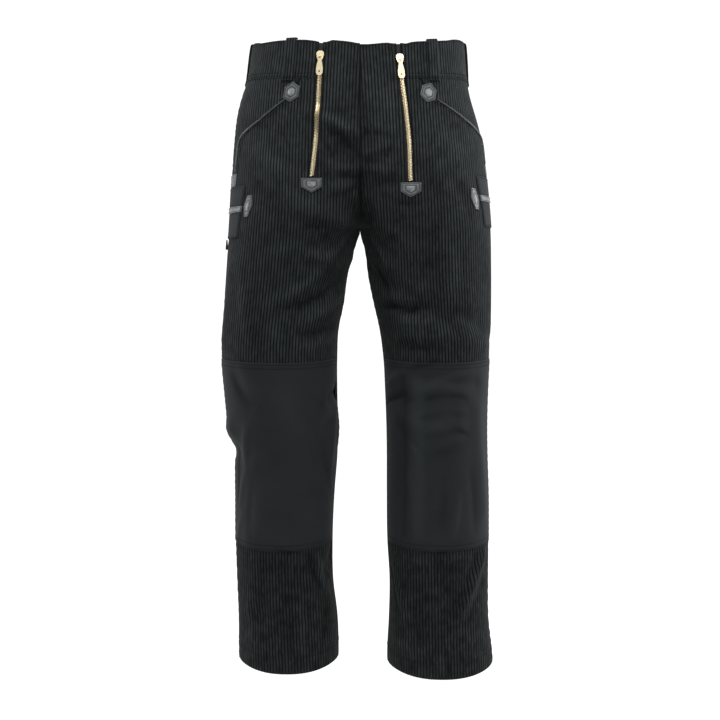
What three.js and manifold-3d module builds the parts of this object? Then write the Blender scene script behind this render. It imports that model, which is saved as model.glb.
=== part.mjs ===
// Corduroy work trousers with two brass front zips, leather pocket trims and smooth knee patches.
// Sizes are in millimetres and angles in degrees. Z points up and the front faces -Y.
// The origin is inside the waist opening, 34 mm below the top edge at the side seams.
// Each leg is a stack of oval rings. Above the crotch the two rings are cut where they meet at x = 0.
// Around a ring, 0 is the front crease, 90 the outer side, 180 the back and -90 the inner side.
import * as THREE from "three";
import * as BufferGeometryUtils from "three/addons/utils/BufferGeometryUtils.js";
import Module from "manifold-3d";

const wasm = await Module();
wasm.setup();

// Driving dimensions of the cloth.
const CLOTH = 2.0;
const HEM_CLOTH = 3.4;
const SEAM_GAP = 0.3;
const OVAL_POWER = 2.3;

// Heights of the main seams and edges.
const TOP_EDGE = 34;
const BAND_SEAM = -27;
const SPLIT_HEIGHT = -110;
const ZIP_END = -208;
const CROTCH = -266;
const KNEE_TOP = -476;
const KNEE_BOTTOM = -779;
const HEM_LINE = -945;
const SPLIT_EASE = 1.5;

const RIGHT = { name: "right", sign: -1, hem: -976, mouthEnd: -190 };
const LEFT = { name: "left", sign: 1, hem: -985, mouthEnd: -170 };
const SIDES = [RIGHT, LEFT];

// One row for each section of the body, from the waist down.
// rightOuter to leftOuter are distances from the middle, front and back are depths,
// frontDrop lowers the front of the section and backRise lifts its back.
const SECTION_COLUMNS = [
  "height", "rightOuter", "rightInner", "leftInner", "leftOuter", "front", "back", "frontDrop", "backRise",
];
const SECTION_ROWS = [
  [50, 172, 0, 0, 168, 109, 111, 14, 8],
  [34, 174, 0, 0, 169, 110, 112, 14, 8],
  [-22, 183, 0, 0, 174, 117, 117, 11, 6],
  [-52, 193, 0, 0, 180, 121, 121, 9, 4],
  [-85, 201, 0, 0, 190, 125, 127, 6, 2],
  [-120, 205, 0, 0, 199, 128, 134, 4, 0],
  [-160, 208, 0, 0, 204, 129, 140, 2, 0],
  [-215, 211, 0, 0, 210, 127, 141, 1, 0],
  [-266, 214, 0, 0, 214, 121, 130, 0, 0],
  [-300, 217, 11, 9, 215, 115, 118, 0, 0],
  [-340, 220, 21, 14, 215, 108, 106, 1, 0],
  [-385, 223, 27, 23, 214, 101, 97, 2, 0],
  [-430, 226, 36, 33, 213, 95, 90, 3, 0],
  [-476, 228, 38, 39, 213, 90, 84, 4, 0],
  [-530, 224, 38, 42, 211, 86, 78, 4, 0],
  [-580, 219, 37, 44, 210, 83, 74, 5, 0],
  [-640, 208, 38, 45, 211, 80, 74, 5, 0],
  [-690, 207, 42, 45, 213, 77, 77, 6, 0],
  [-779, 207, 46, 46, 214, 74, 81, 7, 0],
  [-850, 205, 45, 50, 214, 72, 81, 9, 0],
  [-910, 203, 38, 49, 215, 71, 80, 11, 0],
  [-975, 203, 36, 46, 222, 72, 78, 13, 0],
  [-990, 203, 36, 46, 223, 72, 78, 13, 0],
];

// Where each zip runs, as the distance of its middle from the centre front.
const ZIP_COLUMNS = ["height", "right", "left"];
const ZIP_ROWS = [
  [50, 60, 59],
  [34, 60.5, 59.5],
  [-25, 63, 64.5],
  [-80, 65.5, 71],
  [-134, 69, 76],
  [-190, 75, 78],
  [-222, 79, 81],
];

// The slanted pocket mouth, and below it the grid line that carries on from it, as ring angles.
const MOUTH_COLUMNS = ["height", "right", "left"];
const MOUTH_ROWS = [
  [34, 26, 26],
  [-27, 27, 29],
  [-50, 29.5, 33],
  [-66, 35, 40],
  [-82, 42, 50],
  [-96, 49, 60],
  [-108, 58, 71],
  [-119, 66, 81],
  [-132, 69, 84],
  [-170, 69, 84],
  [-190, 68, 80],
  [-266, 50, 58],
  [-340, 38, 40],
  [-1000, 38, 38],
];

// Ring angles of the side seams and of the inseam, which turn with the leg.
const SEAM_COLUMNS = ["height", "rightSide", "leftSide", "inseam"];
const SEAM_ROWS = [
  [50, 88, 92, -90],
  [-120, 86, 94, -90],
  [-266, 86, 92, -90],
  [-400, 83, 85, -84],
  [-480, 81, 82, -80],
  [-1000, 82, 82, -80],
];

// The largest folds, one row each: a ridge (or a trough, where rise is negative) between two points.
const FOLD_COLUMNS = [
  "side", "angle1", "height1", "angle2", "height2", "halfWidth", "rise",
];
const FOLD_ROWS = [
  [-1, 14, -88, -4, -140, 13, 4.5],
  [-1, 8, -120, -8, -160, 12, -3],
  [-1, -6, -163, -28, -170, 11, 3],
  [1, -32, -166, -6, -174, 12, 3],
  [1, -32, -182, -8, -194, 11, -3.5],
  [-1, -62, -246, -30, -262, 13, 5],
  [-1, -72, -278, -18, -300, 14, -4],
  [-1, -76, -312, -30, -330, 16, 4.5],
  [-1, -60, -350, -10, -385, 16, -3.5],
  [1, -62, -250, -32, -270, 13, 4.5],
  [1, -20, -392, 45, -412, 17, -5],
  [1, -25, -430, 55, -448, 17, 4],
  [1, -75, -330, -35, -366, 14, -3.5],
  [1, 60, -300, 75, -420, 20, 3],
  [-1, 55, -330, 70, -440, 20, 3],
  [-1, -96, -524, -62, -540, 15, -6],
  [-1, -70, -556, -56, -640, 15, 3],
  [-1, 62, -586, 110, -604, 14, 4],
  [-1, 60, -622, 110, -638, 14, -5],
  [-1, 30, -640, 38, -760, 16, 3],
  [1, -20, -500, 40, -512, 14, -3.5],
  [1, -50, -540, 10, -552, 15, -3.5],
  [1, -45, -572, 20, -580, 15, 3],
  [1, 45, -560, 55, -720, 18, 3],
  [1, 55, -795, 18, -880, 11, 5.5],
  [1, 40, -800, 8, -880, 12, -3],
  [-1, -85, -796, -50, -830, 15, -4],
  [-1, -40, -840, 10, -870, 18, 3],
  [-1, 20, -880, 60, -930, 17, -3],
  [1, -60, -850, -20, -890, 17, 3],
  [-1, 210, -290, 248, -276, 20, -4],
  [1, 210, -290, 248, -276, 20, -4],
  [-1, 205, -328, 246, -312, 18, 4],
  [1, 205, -330, 246, -314, 18, 4],
  [-1, 150, -300, 215, -345, 18, -4.5],
  [1, 150, -306, 212, -350, 18, -4.5],
  [-1, 190, -180, 240, -225, 20, 3.5],
  [1, 188, -176, 238, -222, 20, 3.5],
  [-1, 140, -560, 240, -580, 17, -5.5],
  [1, 138, -548, 236, -562, 17, -5.5],
  [-1, 145, -600, 225, -618, 17, 4.5],
  [1, 150, -590, 232, -604, 17, 4.5],
  [-1, 150, -640, 240, -655, 16, -4],
  [1, 145, -630, 225, -648, 16, -4],
  [-1, 150, -800, 230, -860, 18, 4],
  [1, 140, -830, 225, -790, 18, 4],
];
const MM_PER_DEGREE = 1.7;

// Heights of the rows of points that every panel shares.
const ROW_HEIGHTS = [
  TOP_EDGE, 14, -7, BAND_SEAM, -46, -66, -84, -100, -114, -130, -150, -170, -190, ZIP_END,
  -232, -248, -259, CROTCH, -285, -310, -340, -375, -410, -444, KNEE_TOP,
  -510, -545, -580, -612, -640, -672, -706, -742, KNEE_BOTTOM,
  -812, -848, -884, -916, HEM_LINE + 1, HEM_LINE - 2, -976,
];
const FLAP_CELLS = 6;
const POCKET_CELLS = 3;
const FACING_CELLS = 4;
const BACK_CELLS = 12;

// Zip sizes.
const SLOT_HALF = 5;
const TAPE_HALF = 9;
const CHAIN_HALF = 3.4;
const SLIDER_HEIGHT = { right: 11, left: 6 };

function radians(degrees) {
  return (degrees * Math.PI) / 180;
}

function degrees(value) {
  return (value * 180) / Math.PI;
}

function clamp(value, low, high) {
  return Math.min(Math.max(value, low), high);
}

function mix(a, b, share) {
  return a + (b - a) * share;
}

// A reader for one column of a table whose rows go down in height.
// Smooth readers pass a curve through the rows, plain ones a straight line between them.
function columnReader(columns, rows, name, smooth) {
  const index = columns.indexOf(name);
  const heights = rows.map((row) => row[0]).reverse();
  const values = rows.map((row) => row[index]).reverse();
  const last = heights.length - 1;
  const step = (i) => heights[i + 1] - heights[i];
  const rise = (i) => (values[i + 1] - values[i]) / step(i);
  const slopes = heights.map((_, i) => {
    if (i === 0) return rise(0);
    if (i === last) return rise(last - 1);
    return (rise(i - 1) * step(i) + rise(i) * step(i - 1)) / (step(i - 1) + step(i));
  });
  return (height) => {
    let i = 0;
    while (i < last - 1 && height > heights[i + 1]) i += 1;
    const t = clamp((height - heights[i]) / step(i), 0, 1);
    if (!smooth) return mix(values[i], values[i + 1], t);
    const t2 = t * t;
    const t3 = t2 * t;
    return (
      (2 * t3 - 3 * t2 + 1) * values[i] +
      (t3 - 2 * t2 + t) * step(i) * slopes[i] +
      (3 * t2 - 2 * t3) * values[i + 1] +
      (t3 - t2) * step(i) * slopes[i + 1]
    );
  };
}

const section = {};
for (const name of SECTION_COLUMNS.slice(1)) {
  section[name] = columnReader(SECTION_COLUMNS, SECTION_ROWS, name, true);
}
const zipLine = {};
const mouthLine = {};
for (const side of SIDES) {
  zipLine[side.name] = columnReader(ZIP_COLUMNS, ZIP_ROWS, side.name, true);
  mouthLine[side.name] = columnReader(MOUTH_COLUMNS, MOUTH_ROWS, side.name, false);
}
const sideSeam = {
  right: columnReader(SEAM_COLUMNS, SEAM_ROWS, "rightSide", false),
  left: columnReader(SEAM_COLUMNS, SEAM_ROWS, "leftSide", false),
};
const inseam = columnReader(SEAM_COLUMNS, SEAM_ROWS, "inseam", false);
const folds = FOLD_ROWS.map((row) => Object.fromEntries(FOLD_COLUMNS.map((name, i) => [name, row[i]])));

// The oval of one leg at one height: its middle, half width and depths.
// Above the crotch the middle moves in to the centre line, so the oval becomes half of the waist.
function oval(side, height) {
  const outer = side.sign < 0 ? section.rightOuter(height) : section.leftOuter(height);
  const inner = side.sign < 0 ? section.rightInner(height) : section.leftInner(height);
  const front = section.front(height);
  const back = section.back(height);
  if (height < CROTCH) {
    const edge = Math.max(inner, 0);
    return { middle: (outer + edge) / 2, half: (outer - edge) / 2, front, back, cut: 1 };
  }
  const cut = clamp((SPLIT_HEIGHT - height) / (SPLIT_HEIGHT - CROTCH), 0, 1) ** SPLIT_EASE;
  return { middle: (outer * cut) / (1 + cut), half: outer / (1 + cut), front, back, cut };
}

function signedPower(value, power) {
  return Math.sign(value) * Math.abs(value) ** power;
}

// A point of the smooth body, before its folds.
function ringPoint(side, angle, height) {
  const ring = oval(side, height);
  const s = Math.sin(radians(angle));
  const c = Math.cos(radians(angle));
  const power = 2 / OVAL_POWER;
  const x = ring.middle + ring.half * signedPower(s, power);
  const y = (c > 0 ? -ring.front : ring.back) * Math.abs(c) ** power;
  const z = c > 0 ? height - section.frontDrop(height) * c * c : height + section.backRise(height) * c * c;
  return new THREE.Vector3(side.sign * x, y, z);
}

const ANGLE_STEP = 0.4;
const HEIGHT_STEP = 0.8;

// The outward direction of any surface given as a function of angle and height.
function surfaceNormal(surface, side, angle, height) {
  const around = surface(side, angle + ANGLE_STEP, height).sub(surface(side, angle - ANGLE_STEP, height));
  const up = surface(side, angle, height + HEIGHT_STEP).sub(surface(side, angle, height - HEIGHT_STEP));
  return around.cross(up).multiplyScalar(side.sign).normalize();
}

// The height of all folds at one place. Distances are taken on the cloth, in millimetres.
function foldRise(side, angle, height) {
  let total = 0;
  for (const fold of folds) {
    if (fold.side !== side.sign) continue;
    const ax = (angle - fold.angle1) * MM_PER_DEGREE;
    const az = height - fold.height1;
    const bx = (fold.angle2 - fold.angle1) * MM_PER_DEGREE;
    const bz = fold.height2 - fold.height1;
    const along = clamp((ax * bx + az * bz) / (bx * bx + bz * bz), 0, 1);
    const distance = Math.hypot(ax - along * bx, az - along * bz);
    total += fold.rise * Math.exp(-((distance / fold.halfWidth) ** 2));
  }
  return total;
}

function foldedPoint(side, angle, height) {
  const rise = foldRise(side, angle, height);
  const point = ringPoint(side, angle, height);
  if (Math.abs(rise) < 0.01) return point;
  return point.addScaledVector(surfaceNormal(ringPoint, side, angle, height), rise);
}

// A point on the cloth's outer face, moved out by some millimetres (or in, where out is negative).
function skinPoint(side, angle, height, out) {
  const point = foldedPoint(side, angle, height);
  return point.addScaledVector(surfaceNormal(foldedPoint, side, angle, height), out);
}

// The same, kept on its own side of the centre seam.
function sidePoint(side, angle, height, out) {
  const point = skinPoint(side, angle, height, out);
  point.x = side.sign * Math.max(side.sign * point.x, SEAM_GAP / 2);
  return point;
}

// Millimetres of cloth for each degree at one place of a ring.
function stretch(side, angle, height) {
  return ringPoint(side, angle + 1, height).distanceTo(ringPoint(side, angle - 1, height)) / 2;
}

// The ring angle where the front crosses a distance x from the centre.
function angleAtX(side, x, height) {
  const ring = oval(side, height);
  const share = clamp((x - ring.middle) / ring.half, -1, 1);
  return degrees(Math.asin(signedPower(share, OVAL_POWER / 2)));
}

function centreAngle(side, height) {
  return -degrees(Math.asin(clamp(oval(side, height).cut, 0, 1) ** (OVAL_POWER / 2)));
}

// The inner edge of a front panel: the centre front above the crotch, the inseam below it.
function innerEdge(side, height) {
  if (height > CROTCH) return centreAngle(side, height);
  const seam = inseam(height);
  return seam + SEAM_GAP / 2 / stretch(side, seam, height);
}

function zipAngle(side, height, across) {
  const line = height > ZIP_END - 14 ? zipLine[side.name](height) : oval(side, height).middle;
  return angleAtX(side, line + across, height);
}

function spread(from, to, cells) {
  return Array.from({ length: cells + 1 }, (_, i) => mix(from, to, i / cells));
}

// Angles of the columns of a front panel at one height, from its inner edge to the side seam.
function frontColumns(side, height, mouthGap) {
  const seam = sideSeam[side.name](height);
  const edge = seam - SEAM_GAP / 2 / stretch(side, seam, height);
  const mouth = mouthLine[side.name](height);
  const shift = mouthGap / stretch(side, mouth, height);
  const flap = spread(innerEdge(side, height), zipAngle(side, height, -SLOT_HALF), FLAP_CELLS);
  const pocket = spread(zipAngle(side, height, SLOT_HALF), mouth + shift, POCKET_CELLS);
  const facing = spread(mouth + shift, edge, FACING_CELLS);
  return [...flap, ...pocket, ...facing.slice(1)];
}

// Angles of the columns of a back panel at one height, from the side seam round to its inner edge.
function backColumns(side, height) {
  const seam = sideSeam[side.name](height);
  const from = seam + SEAM_GAP / 2 / stretch(side, seam, height);
  const inner = 360 + inseam(height);
  const to = height > CROTCH ? 180 - centreAngle(side, height) : inner - SEAM_GAP / 2 / stretch(side, inner, height);
  return spread(from, to, BACK_CELLS);
}

const ZIP_COLUMN = FLAP_CELLS;
const MOUTH_COLUMN = FLAP_CELLS + 1 + POCKET_CELLS;
const FRONT_LAST = MOUTH_COLUMN + FACING_CELLS;

function rowsOf(side) {
  return ROW_HEIGHTS.map((height, i) => (i === ROW_HEIGHTS.length - 1 ? side.hem : height));
}

function clothThickness(height) {
  return height < HEM_LINE ? HEM_CLOTH : CLOTH;
}

// A closed wall over a grid of cells. pointAt gives a corner's outer (layer 0) or inner (layer 1) point,
// isCloth says which cells are there, and flip turns the faces of a grid that runs the other way.
function wallGeometry(rowCount, columnCount, pointAt, isCloth, flip) {
  const positions = [];
  const numbers = new Map();
  const corner = (row, column, layer) => {
    const key = (row * (columnCount + 1) + column) * 2 + layer;
    if (!numbers.has(key)) {
      numbers.set(key, positions.length / 3);
      positions.push(...pointAt(row, column, layer).toArray());
    }
    return numbers.get(key);
  };
  const outer = [];
  const inner = [];
  for (let row = 0; row < rowCount; row += 1) {
    for (let column = 0; column < columnCount; column += 1) {
      if (!isCloth(row, column)) continue;
      const cell = [[row, column], [row + 1, column], [row + 1, column + 1], [row, column + 1]];
      const [a, b, c, d] = cell.map(([r, k]) => corner(r, k, 0));
      const [e, f, g, h] = cell.map(([r, k]) => corner(r, k, 1));
      outer.push(flip ? [a, c, b] : [a, b, c], flip ? [a, d, c] : [a, c, d]);
      inner.push(flip ? [e, f, g] : [e, g, f], flip ? [e, g, h] : [e, h, g]);
    }
  }
  return closedGeometry(positions, outer, inner);
}

// Joins an outer and an inner face sheet with a rim. Inner corners are numbered one above their outer ones.
function closedGeometry(positions, outer, inner) {
  const partner = new Map();
  outer.forEach((triangle, i) => {
    const back = inner[i];
    const order = [back[0], back[2], back[1]];
    triangle.forEach((number, k) => partner.set(number, order[k]));
  });
  const edges = new Set();
  for (const [a, b, c] of outer) {
    edges.add(`${a},${b}`).add(`${b},${c}`).add(`${c},${a}`);
  }
  const rim = [];
  for (const edge of edges) {
    const [a, b] = edge.split(",").map(Number);
    if (edges.has(`${b},${a}`)) continue;
    rim.push([b, a, partner.get(a)], [b, partner.get(a), partner.get(b)]);
  }
  const geometry = new THREE.BufferGeometry();
  geometry.setAttribute("position", new THREE.Float32BufferAttribute(positions, 3));
  geometry.setIndex([...outer, ...inner, ...rim].flat());
  return geometry;
}

// Materials, one for each mesh, in the colours of the real cloth, leather and brass.
const FINISH = {
  corduroy: { color: "#26292a", roughness: 0.95, metalness: 0 },
  plainCloth: { color: "#2b2e2f", roughness: 0.9, metalness: 0 },
  leather: { color: "#5b6063", roughness: 0.6, metalness: 0 },
  tape: { color: "#141516", roughness: 0.9, metalness: 0 },
  tab: { color: "#2a1517", roughness: 0.9, metalness: 0 },
  brass: { color: "#b9a47a", roughness: 0.35, metalness: 1 },
};

const trousers = new THREE.Group();

function addPiece(name, geometry, finish, parent = trousers) {
  const mesh = new THREE.Mesh(geometry, new THREE.MeshStandardMaterial(FINISH[finish]));
  mesh.name = name;
  parent.add(mesh);
  return mesh;
}

// The front panel. The zip slot and the place of the hip facing are left open.
function frontPanel(side) {
  const rows = rowsOf(side);
  const columns = rows.map((height) => frontColumns(side, height, -SEAM_GAP));
  const isCloth = (row, column) => {
    if (column === ZIP_COLUMN && rows[row] > ZIP_END) return false;
    if (column > ZIP_COLUMN && rows[row] > BAND_SEAM) return false;
    return !(column >= MOUTH_COLUMN && rows[row] > side.mouthEnd);
  };
  const pointAt = (row, column, layer) => {
    const out = layer === 0 ? 0 : -clothThickness(rows[row]);
    return sidePoint(side, columns[row][column], rows[row], out);
  };
  return wallGeometry(rows.length - 1, FRONT_LAST, pointAt, isCloth, side.sign < 0);
}

function backPanel(side) {
  const rows = rowsOf(side).filter((height) => height <= BAND_SEAM);
  const columns = rows.map((height) => backColumns(side, height));
  const pointAt = (row, column, layer) => {
    const out = layer === 0 ? 0 : -clothThickness(rows[row]);
    return sidePoint(side, columns[row][column], rows[row], out);
  };
  return wallGeometry(rows.length - 1, BACK_CELLS, pointAt, () => true, side.sign < 0);
}

// The corduroy that shows behind the slanted pocket mouth.
function hipFacing(side) {
  const heights = ROW_HEIGHTS.filter((height) => height <= BAND_SEAM && height >= side.mouthEnd);
  const columns = heights.map((height) => frontColumns(side, height, SEAM_GAP).slice(MOUTH_COLUMN));
  const pointAt = (row, column, layer) => {
    const lift = heights[row] === side.mouthEnd ? SEAM_GAP : 0;
    return sidePoint(side, columns[row][column], heights[row] + lift, layer === 0 ? 0 : -CLOTH);
  };
  return wallGeometry(heights.length - 1, FACING_CELLS, pointAt, () => true, side.sign < 0);
}

// The waistband, from the zip round to the centre back. It stands a little proud of the panels.
const BAND_PROUD = 0.8;
function waistband(side) {
  const heights = ROW_HEIGHTS.filter((height) => height >= BAND_SEAM);
  const front = frontColumns(side, BAND_SEAM, 0).slice(ZIP_COLUMN + 1);
  const columns = [...front.slice(0, -1), sideSeam[side.name](BAND_SEAM), ...backColumns(side, BAND_SEAM).slice(1)];
  const pointAt = (row, column, layer) => {
    const height = heights[row] === BAND_SEAM ? BAND_SEAM + SEAM_GAP : heights[row];
    const angle = column === 0 ? zipAngle(side, height, SLOT_HALF) : columns[column];
    return sidePoint(side, angle, height, layer === 0 ? BAND_PROUD : -CLOTH);
  };
  return wallGeometry(heights.length - 1, columns.length - 1, pointAt, () => true, side.sign < 0);
}

// A belt loop: a strip sewn at the waistband seam, standing off the band and turned over the top edge.
const LOOP_HALF = 9;
const LOOP_COLUMNS = ["height", "inside", "outside"];
const LOOP_ROWS = [
  [-31, 1.2, 3.4],
  [-24, 1.2, 3.6],
  [-14, 2.6, 4.8],
  [2, 3.6, 5.8],
  [18, 3.6, 5.8],
  [30, 3.0, 5.4],
];
const LOOP_FOLD = [
  { inside: [2.4, TOP_EDGE + 0.4], outside: [4.4, TOP_EDGE + 2.6] },
  { inside: [-2.2, TOP_EDGE + 0.4], outside: [-2.2, TOP_EDGE + 2.6] },
];
function beltLoop(side, angle) {
  const strip = LOOP_ROWS.map(([height, inside, outside]) => ({ inside: [inside, height], outside: [outside, height] }));
  const path = [...strip, ...LOOP_FOLD];
  const half = LOOP_HALF / stretch(side, angle, 0);
  const columns = spread(angle - half, angle + half, 2);
  const pointAt = (row, column, layer) => {
    const [out, height] = layer === 0 ? path[row].outside : path[row].inside;
    return skinPoint(side, columns[column], height, out);
  };
  return wallGeometry(path.length - 1, 2, pointAt, () => true, side.sign > 0);
}

// Rows of a zip part: the panels' own heights between two ends.
function zipRows(top, bottom) {
  const between = ROW_HEIGHTS.filter((height) => height < top - 1 && height > bottom + 1);
  return [top, ...between, bottom];
}

const TAPE_OUT = -3.0;
const TAPE_THICK = 0.7;
function zipTape(side) {
  const rows = zipRows(TOP_EDGE - 4, ZIP_END - 6);
  const across = [-TAPE_HALF, -SLOT_HALF, SLOT_HALF, TAPE_HALF];
  const pointAt = (row, column, layer) => {
    const angle = zipAngle(side, rows[row], across[column]);
    return skinPoint(side, angle, rows[row], TAPE_OUT - layer * TAPE_THICK);
  };
  return wallGeometry(rows.length - 1, across.length - 1, pointAt, () => true, side.sign < 0);
}

// The patch at the lower end of a zip: flat on top, with a point below.
const END_PATCH = { halfWidth: 16, straight: 14, point: 9, top: { right: -190, left: -197 } };
const PATCH_OUT = 0.5;
const PATCH_THICK = 1.4;
function zipEndPatch(side) {
  const across = spread(-END_PATCH.halfWidth, END_PATCH.halfWidth, 4);
  const top = END_PATCH.top[side.name];
  const pointAt = (row, column, layer) => {
    const x = across[column];
    const depth = END_PATCH.straight + END_PATCH.point * (1 - Math.abs(x) / END_PATCH.halfWidth);
    const height = top - (depth * row) / 2;
    const angle = angleAtX(side, zipLine[side.name](top) + x, height);
    return skinPoint(side, angle, height, PATCH_OUT + (1 - layer) * PATCH_THICK);
  };
  return wallGeometry(2, 4, pointAt, () => true, side.sign < 0);
}

const CHAIN_LOW = -2.7;
const CHAIN_EDGE = 0.1;
const CHAIN_MIDDLE = 0.6;
const SLIDER_HALF = 7;
function zipPoint(side, height) {
  return skinPoint(side, zipAngle(side, height, 0), height, 0);
}

function zipChain(side) {
  const slider = SLIDER_HEIGHT[side.name];
  const scale = zipPoint(side, slider + 1).distanceTo(zipPoint(side, slider - 1)) / 2;
  const top = slider - (SLIDER_HALF + SEAM_GAP) / scale;
  const rows = zipRows(top, END_PATCH.top[side.name] + SEAM_GAP);
  const across = [-CHAIN_HALF, 0, CHAIN_HALF];
  const pointAt = (row, column, layer) => {
    const angle = zipAngle(side, rows[row], across[column]);
    const face = column === 1 ? CHAIN_MIDDLE : CHAIN_EDGE;
    return skinPoint(side, angle, rows[row], layer === 0 ? face : CHAIN_LOW);
  };
  return wallGeometry(rows.length - 1, 2, pointAt, () => true, side.sign < 0);
}

// A mesh as a solid that can be joined, and back.
function toSolid(geometry) {
  const plain = geometry.clone();
  plain.deleteAttribute("normal");
  plain.deleteAttribute("uv");
  const merged = BufferGeometryUtils.mergeVertices(plain, 1e-4);
  return new wasm.Manifold(new wasm.Mesh({
    numProp: 3,
    vertProperties: Float32Array.from(merged.attributes.position.array),
    triVerts: Uint32Array.from(merged.index.array),
  }));
}

function toGeometry(solid) {
  const mesh = solid.getMesh();
  const geometry = new THREE.BufferGeometry();
  geometry.setAttribute("position", new THREE.BufferAttribute(Float32Array.from(mesh.vertProperties), 3));
  geometry.setIndex(new THREE.BufferAttribute(Uint32Array.from(mesh.triVerts), 1));
  return geometry;
}

function outlineShape(points) {
  return new THREE.Shape(points.map(([x, y]) => new THREE.Vector2(x, y)));
}

function plate(points, low, high) {
  const geometry = new THREE.ExtrudeGeometry(outlineShape(points), { depth: high - low, bevelEnabled: false });
  return geometry.translate(0, 0, low);
}

function mirrored(points) {
  return [...points, ...points.map(([x, y]) => [-x, y]).reverse()];
}

// The slider, in its own frame: X across the zip, Y up along it and Z out of the cloth.
const BAR_Y = -1.5;
const BAR_Z = 3.7;
const BRIDGE = { half: 1.0, reach: 2.5, opening: 1.5, under: 1.25, over: 2.25 };
const SLIDER_TOP = 2.4;
const SLIDER_LOW = -2.6;
const WING_LOW = 1.3;
const SLIDER_CORE = mirrored([[3.0, 7], [4.3, 3.5], [4.3, 0], [3.4, -7]]);
const SLIDER_WINGS = mirrored([[2.8, 7], [5.6, 4.6], [6.0, 1.5], [5.0, -3], [3.6, -7]]);
function bridgeGeometry() {
  const { half, reach, opening, under, over } = BRIDGE;
  const arch = [
    [BAR_Y - reach, SLIDER_TOP - 0.3],
    [BAR_Y - opening, SLIDER_TOP - 0.3],
    [BAR_Y - opening, BAR_Z + under],
    [BAR_Y + opening, BAR_Z + under],
    [BAR_Y + opening, SLIDER_TOP - 0.3],
    [BAR_Y + reach, SLIDER_TOP - 0.3],
    [BAR_Y + reach, BAR_Z + under + 0.2],
    [BAR_Y + opening, BAR_Z + over],
    [BAR_Y - opening, BAR_Z + over],
    [BAR_Y - reach, BAR_Z + under + 0.2],
  ];
  const geometry = new THREE.ExtrudeGeometry(outlineShape(arch), { depth: 2 * half, bevelEnabled: false });
  geometry.translate(0, 0, -half);
  const turn = new THREE.Matrix4().makeBasis(
    new THREE.Vector3(0, 1, 0), new THREE.Vector3(0, 0, 1), new THREE.Vector3(1, 0, 0),
  );
  return geometry.applyMatrix4(turn);
}
function sliderGeometry() {
  const core = toSolid(plate(SLIDER_CORE, SLIDER_LOW, SLIDER_TOP - 0.1));
  const wings = toSolid(plate(SLIDER_WINGS, WING_LOW, SLIDER_TOP));
  return toGeometry(core.add(wings).add(toSolid(bridgeGeometry())));
}

// The pull tab, in a frame whose origin is on its hinge bar.
const PULL_HALF_THICK = 0.65;
const BAR_HALF = 0.75;
const PULL_OUTLINE = mirrored([
  [3.3, BAR_HALF], [3.3, -4.5], [2.9, -7.5], [4.0, -12], [5.2, -19], [5.3, -26], [3.8, -29.2], [1.4, -30.4],
]);
const PULL_SLOT = [[1.6, -BAR_HALF], [1.6, -4.4], [-1.6, -4.4], [-1.6, -BAR_HALF]];
const PULL_EYE = Array.from({ length: 8 }, (_, i) => {
  const turn = (i / 8) * 2 * Math.PI;
  return [1.5 * Math.cos(turn), -24 + 1.5 * Math.sin(turn)];
});
const PULL_TILT = 3.5;
function pullGeometry() {
  const body = toSolid(plate(PULL_OUTLINE, -PULL_HALF_THICK, PULL_HALF_THICK));
  const slot = toSolid(plate(PULL_SLOT, -2 * PULL_HALF_THICK, 2 * PULL_HALF_THICK));
  const eye = toSolid(plate(PULL_EYE, -2 * PULL_HALF_THICK, 2 * PULL_HALF_THICK));
  return toGeometry(body.subtract(slot).subtract(eye));
}

// The slider's frame on the cloth.
function sliderFrame(side) {
  const height = SLIDER_HEIGHT[side.name];
  const up = zipPoint(side, height + 8).sub(zipPoint(side, height - 8)).normalize();
  const out = surfaceNormal(foldedPoint, side, zipAngle(side, height, 0), height);
  const across = new THREE.Vector3().crossVectors(up, out).normalize();
  const trueOut = new THREE.Vector3().crossVectors(across, up);
  return new THREE.Matrix4().makeBasis(across, up, trueOut).setPosition(zipPoint(side, height));
}

// A patch on the cloth: an outline of millimetre offsets (outward along the ring, up) round a centre.
function patchGeometry(side, centre, outline, low, high) {
  const rings = 2;
  const scale = stretch(side, centre.angle, centre.height);
  const corners = outline.flatMap((point, i) => {
    const next = outline[(i + 1) % outline.length];
    return [point, [(point[0] + next[0]) / 2, (point[1] + next[1]) / 2]];
  });
  const positions = [];
  const place = (out, up, rise) => {
    positions.push(...skinPoint(side, centre.angle + out / scale, centre.height + up, rise).toArray());
  };
  for (const rise of [high, low]) {
    place(0, 0, rise);
    for (let ring = 1; ring <= rings; ring += 1) {
      for (const [out, up] of corners) place((out * ring) / rings, (up * ring) / rings, rise);
    }
  }
  const count = corners.length;
  const layer = 1 + rings * count;
  const number = (ring, i) => (ring === 0 ? 0 : 1 + (ring - 1) * count + (i % count));
  const outer = [];
  for (let i = 0; i < count; i += 1) {
    outer.push([0, number(1, i), number(1, i + 1)]);
    outer.push([number(1, i), number(2, i), number(2, i + 1)], [number(1, i), number(2, i + 1), number(1, i + 1)]);
  }
  const facing = side.sign > 0 ? outer : outer.map(([a, b, c]) => [a, c, b]);
  const inner = facing.map(([a, b, c]) => [a + layer, c + layer, b + layer]);
  return closedGeometry(positions, facing, inner);
}

function turned(outline, angle) {
  const c = Math.cos(radians(angle));
  const s = Math.sin(radians(angle));
  return outline.map(([out, up]) => [out * c + up * s, up * c - out * s]);
}

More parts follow.
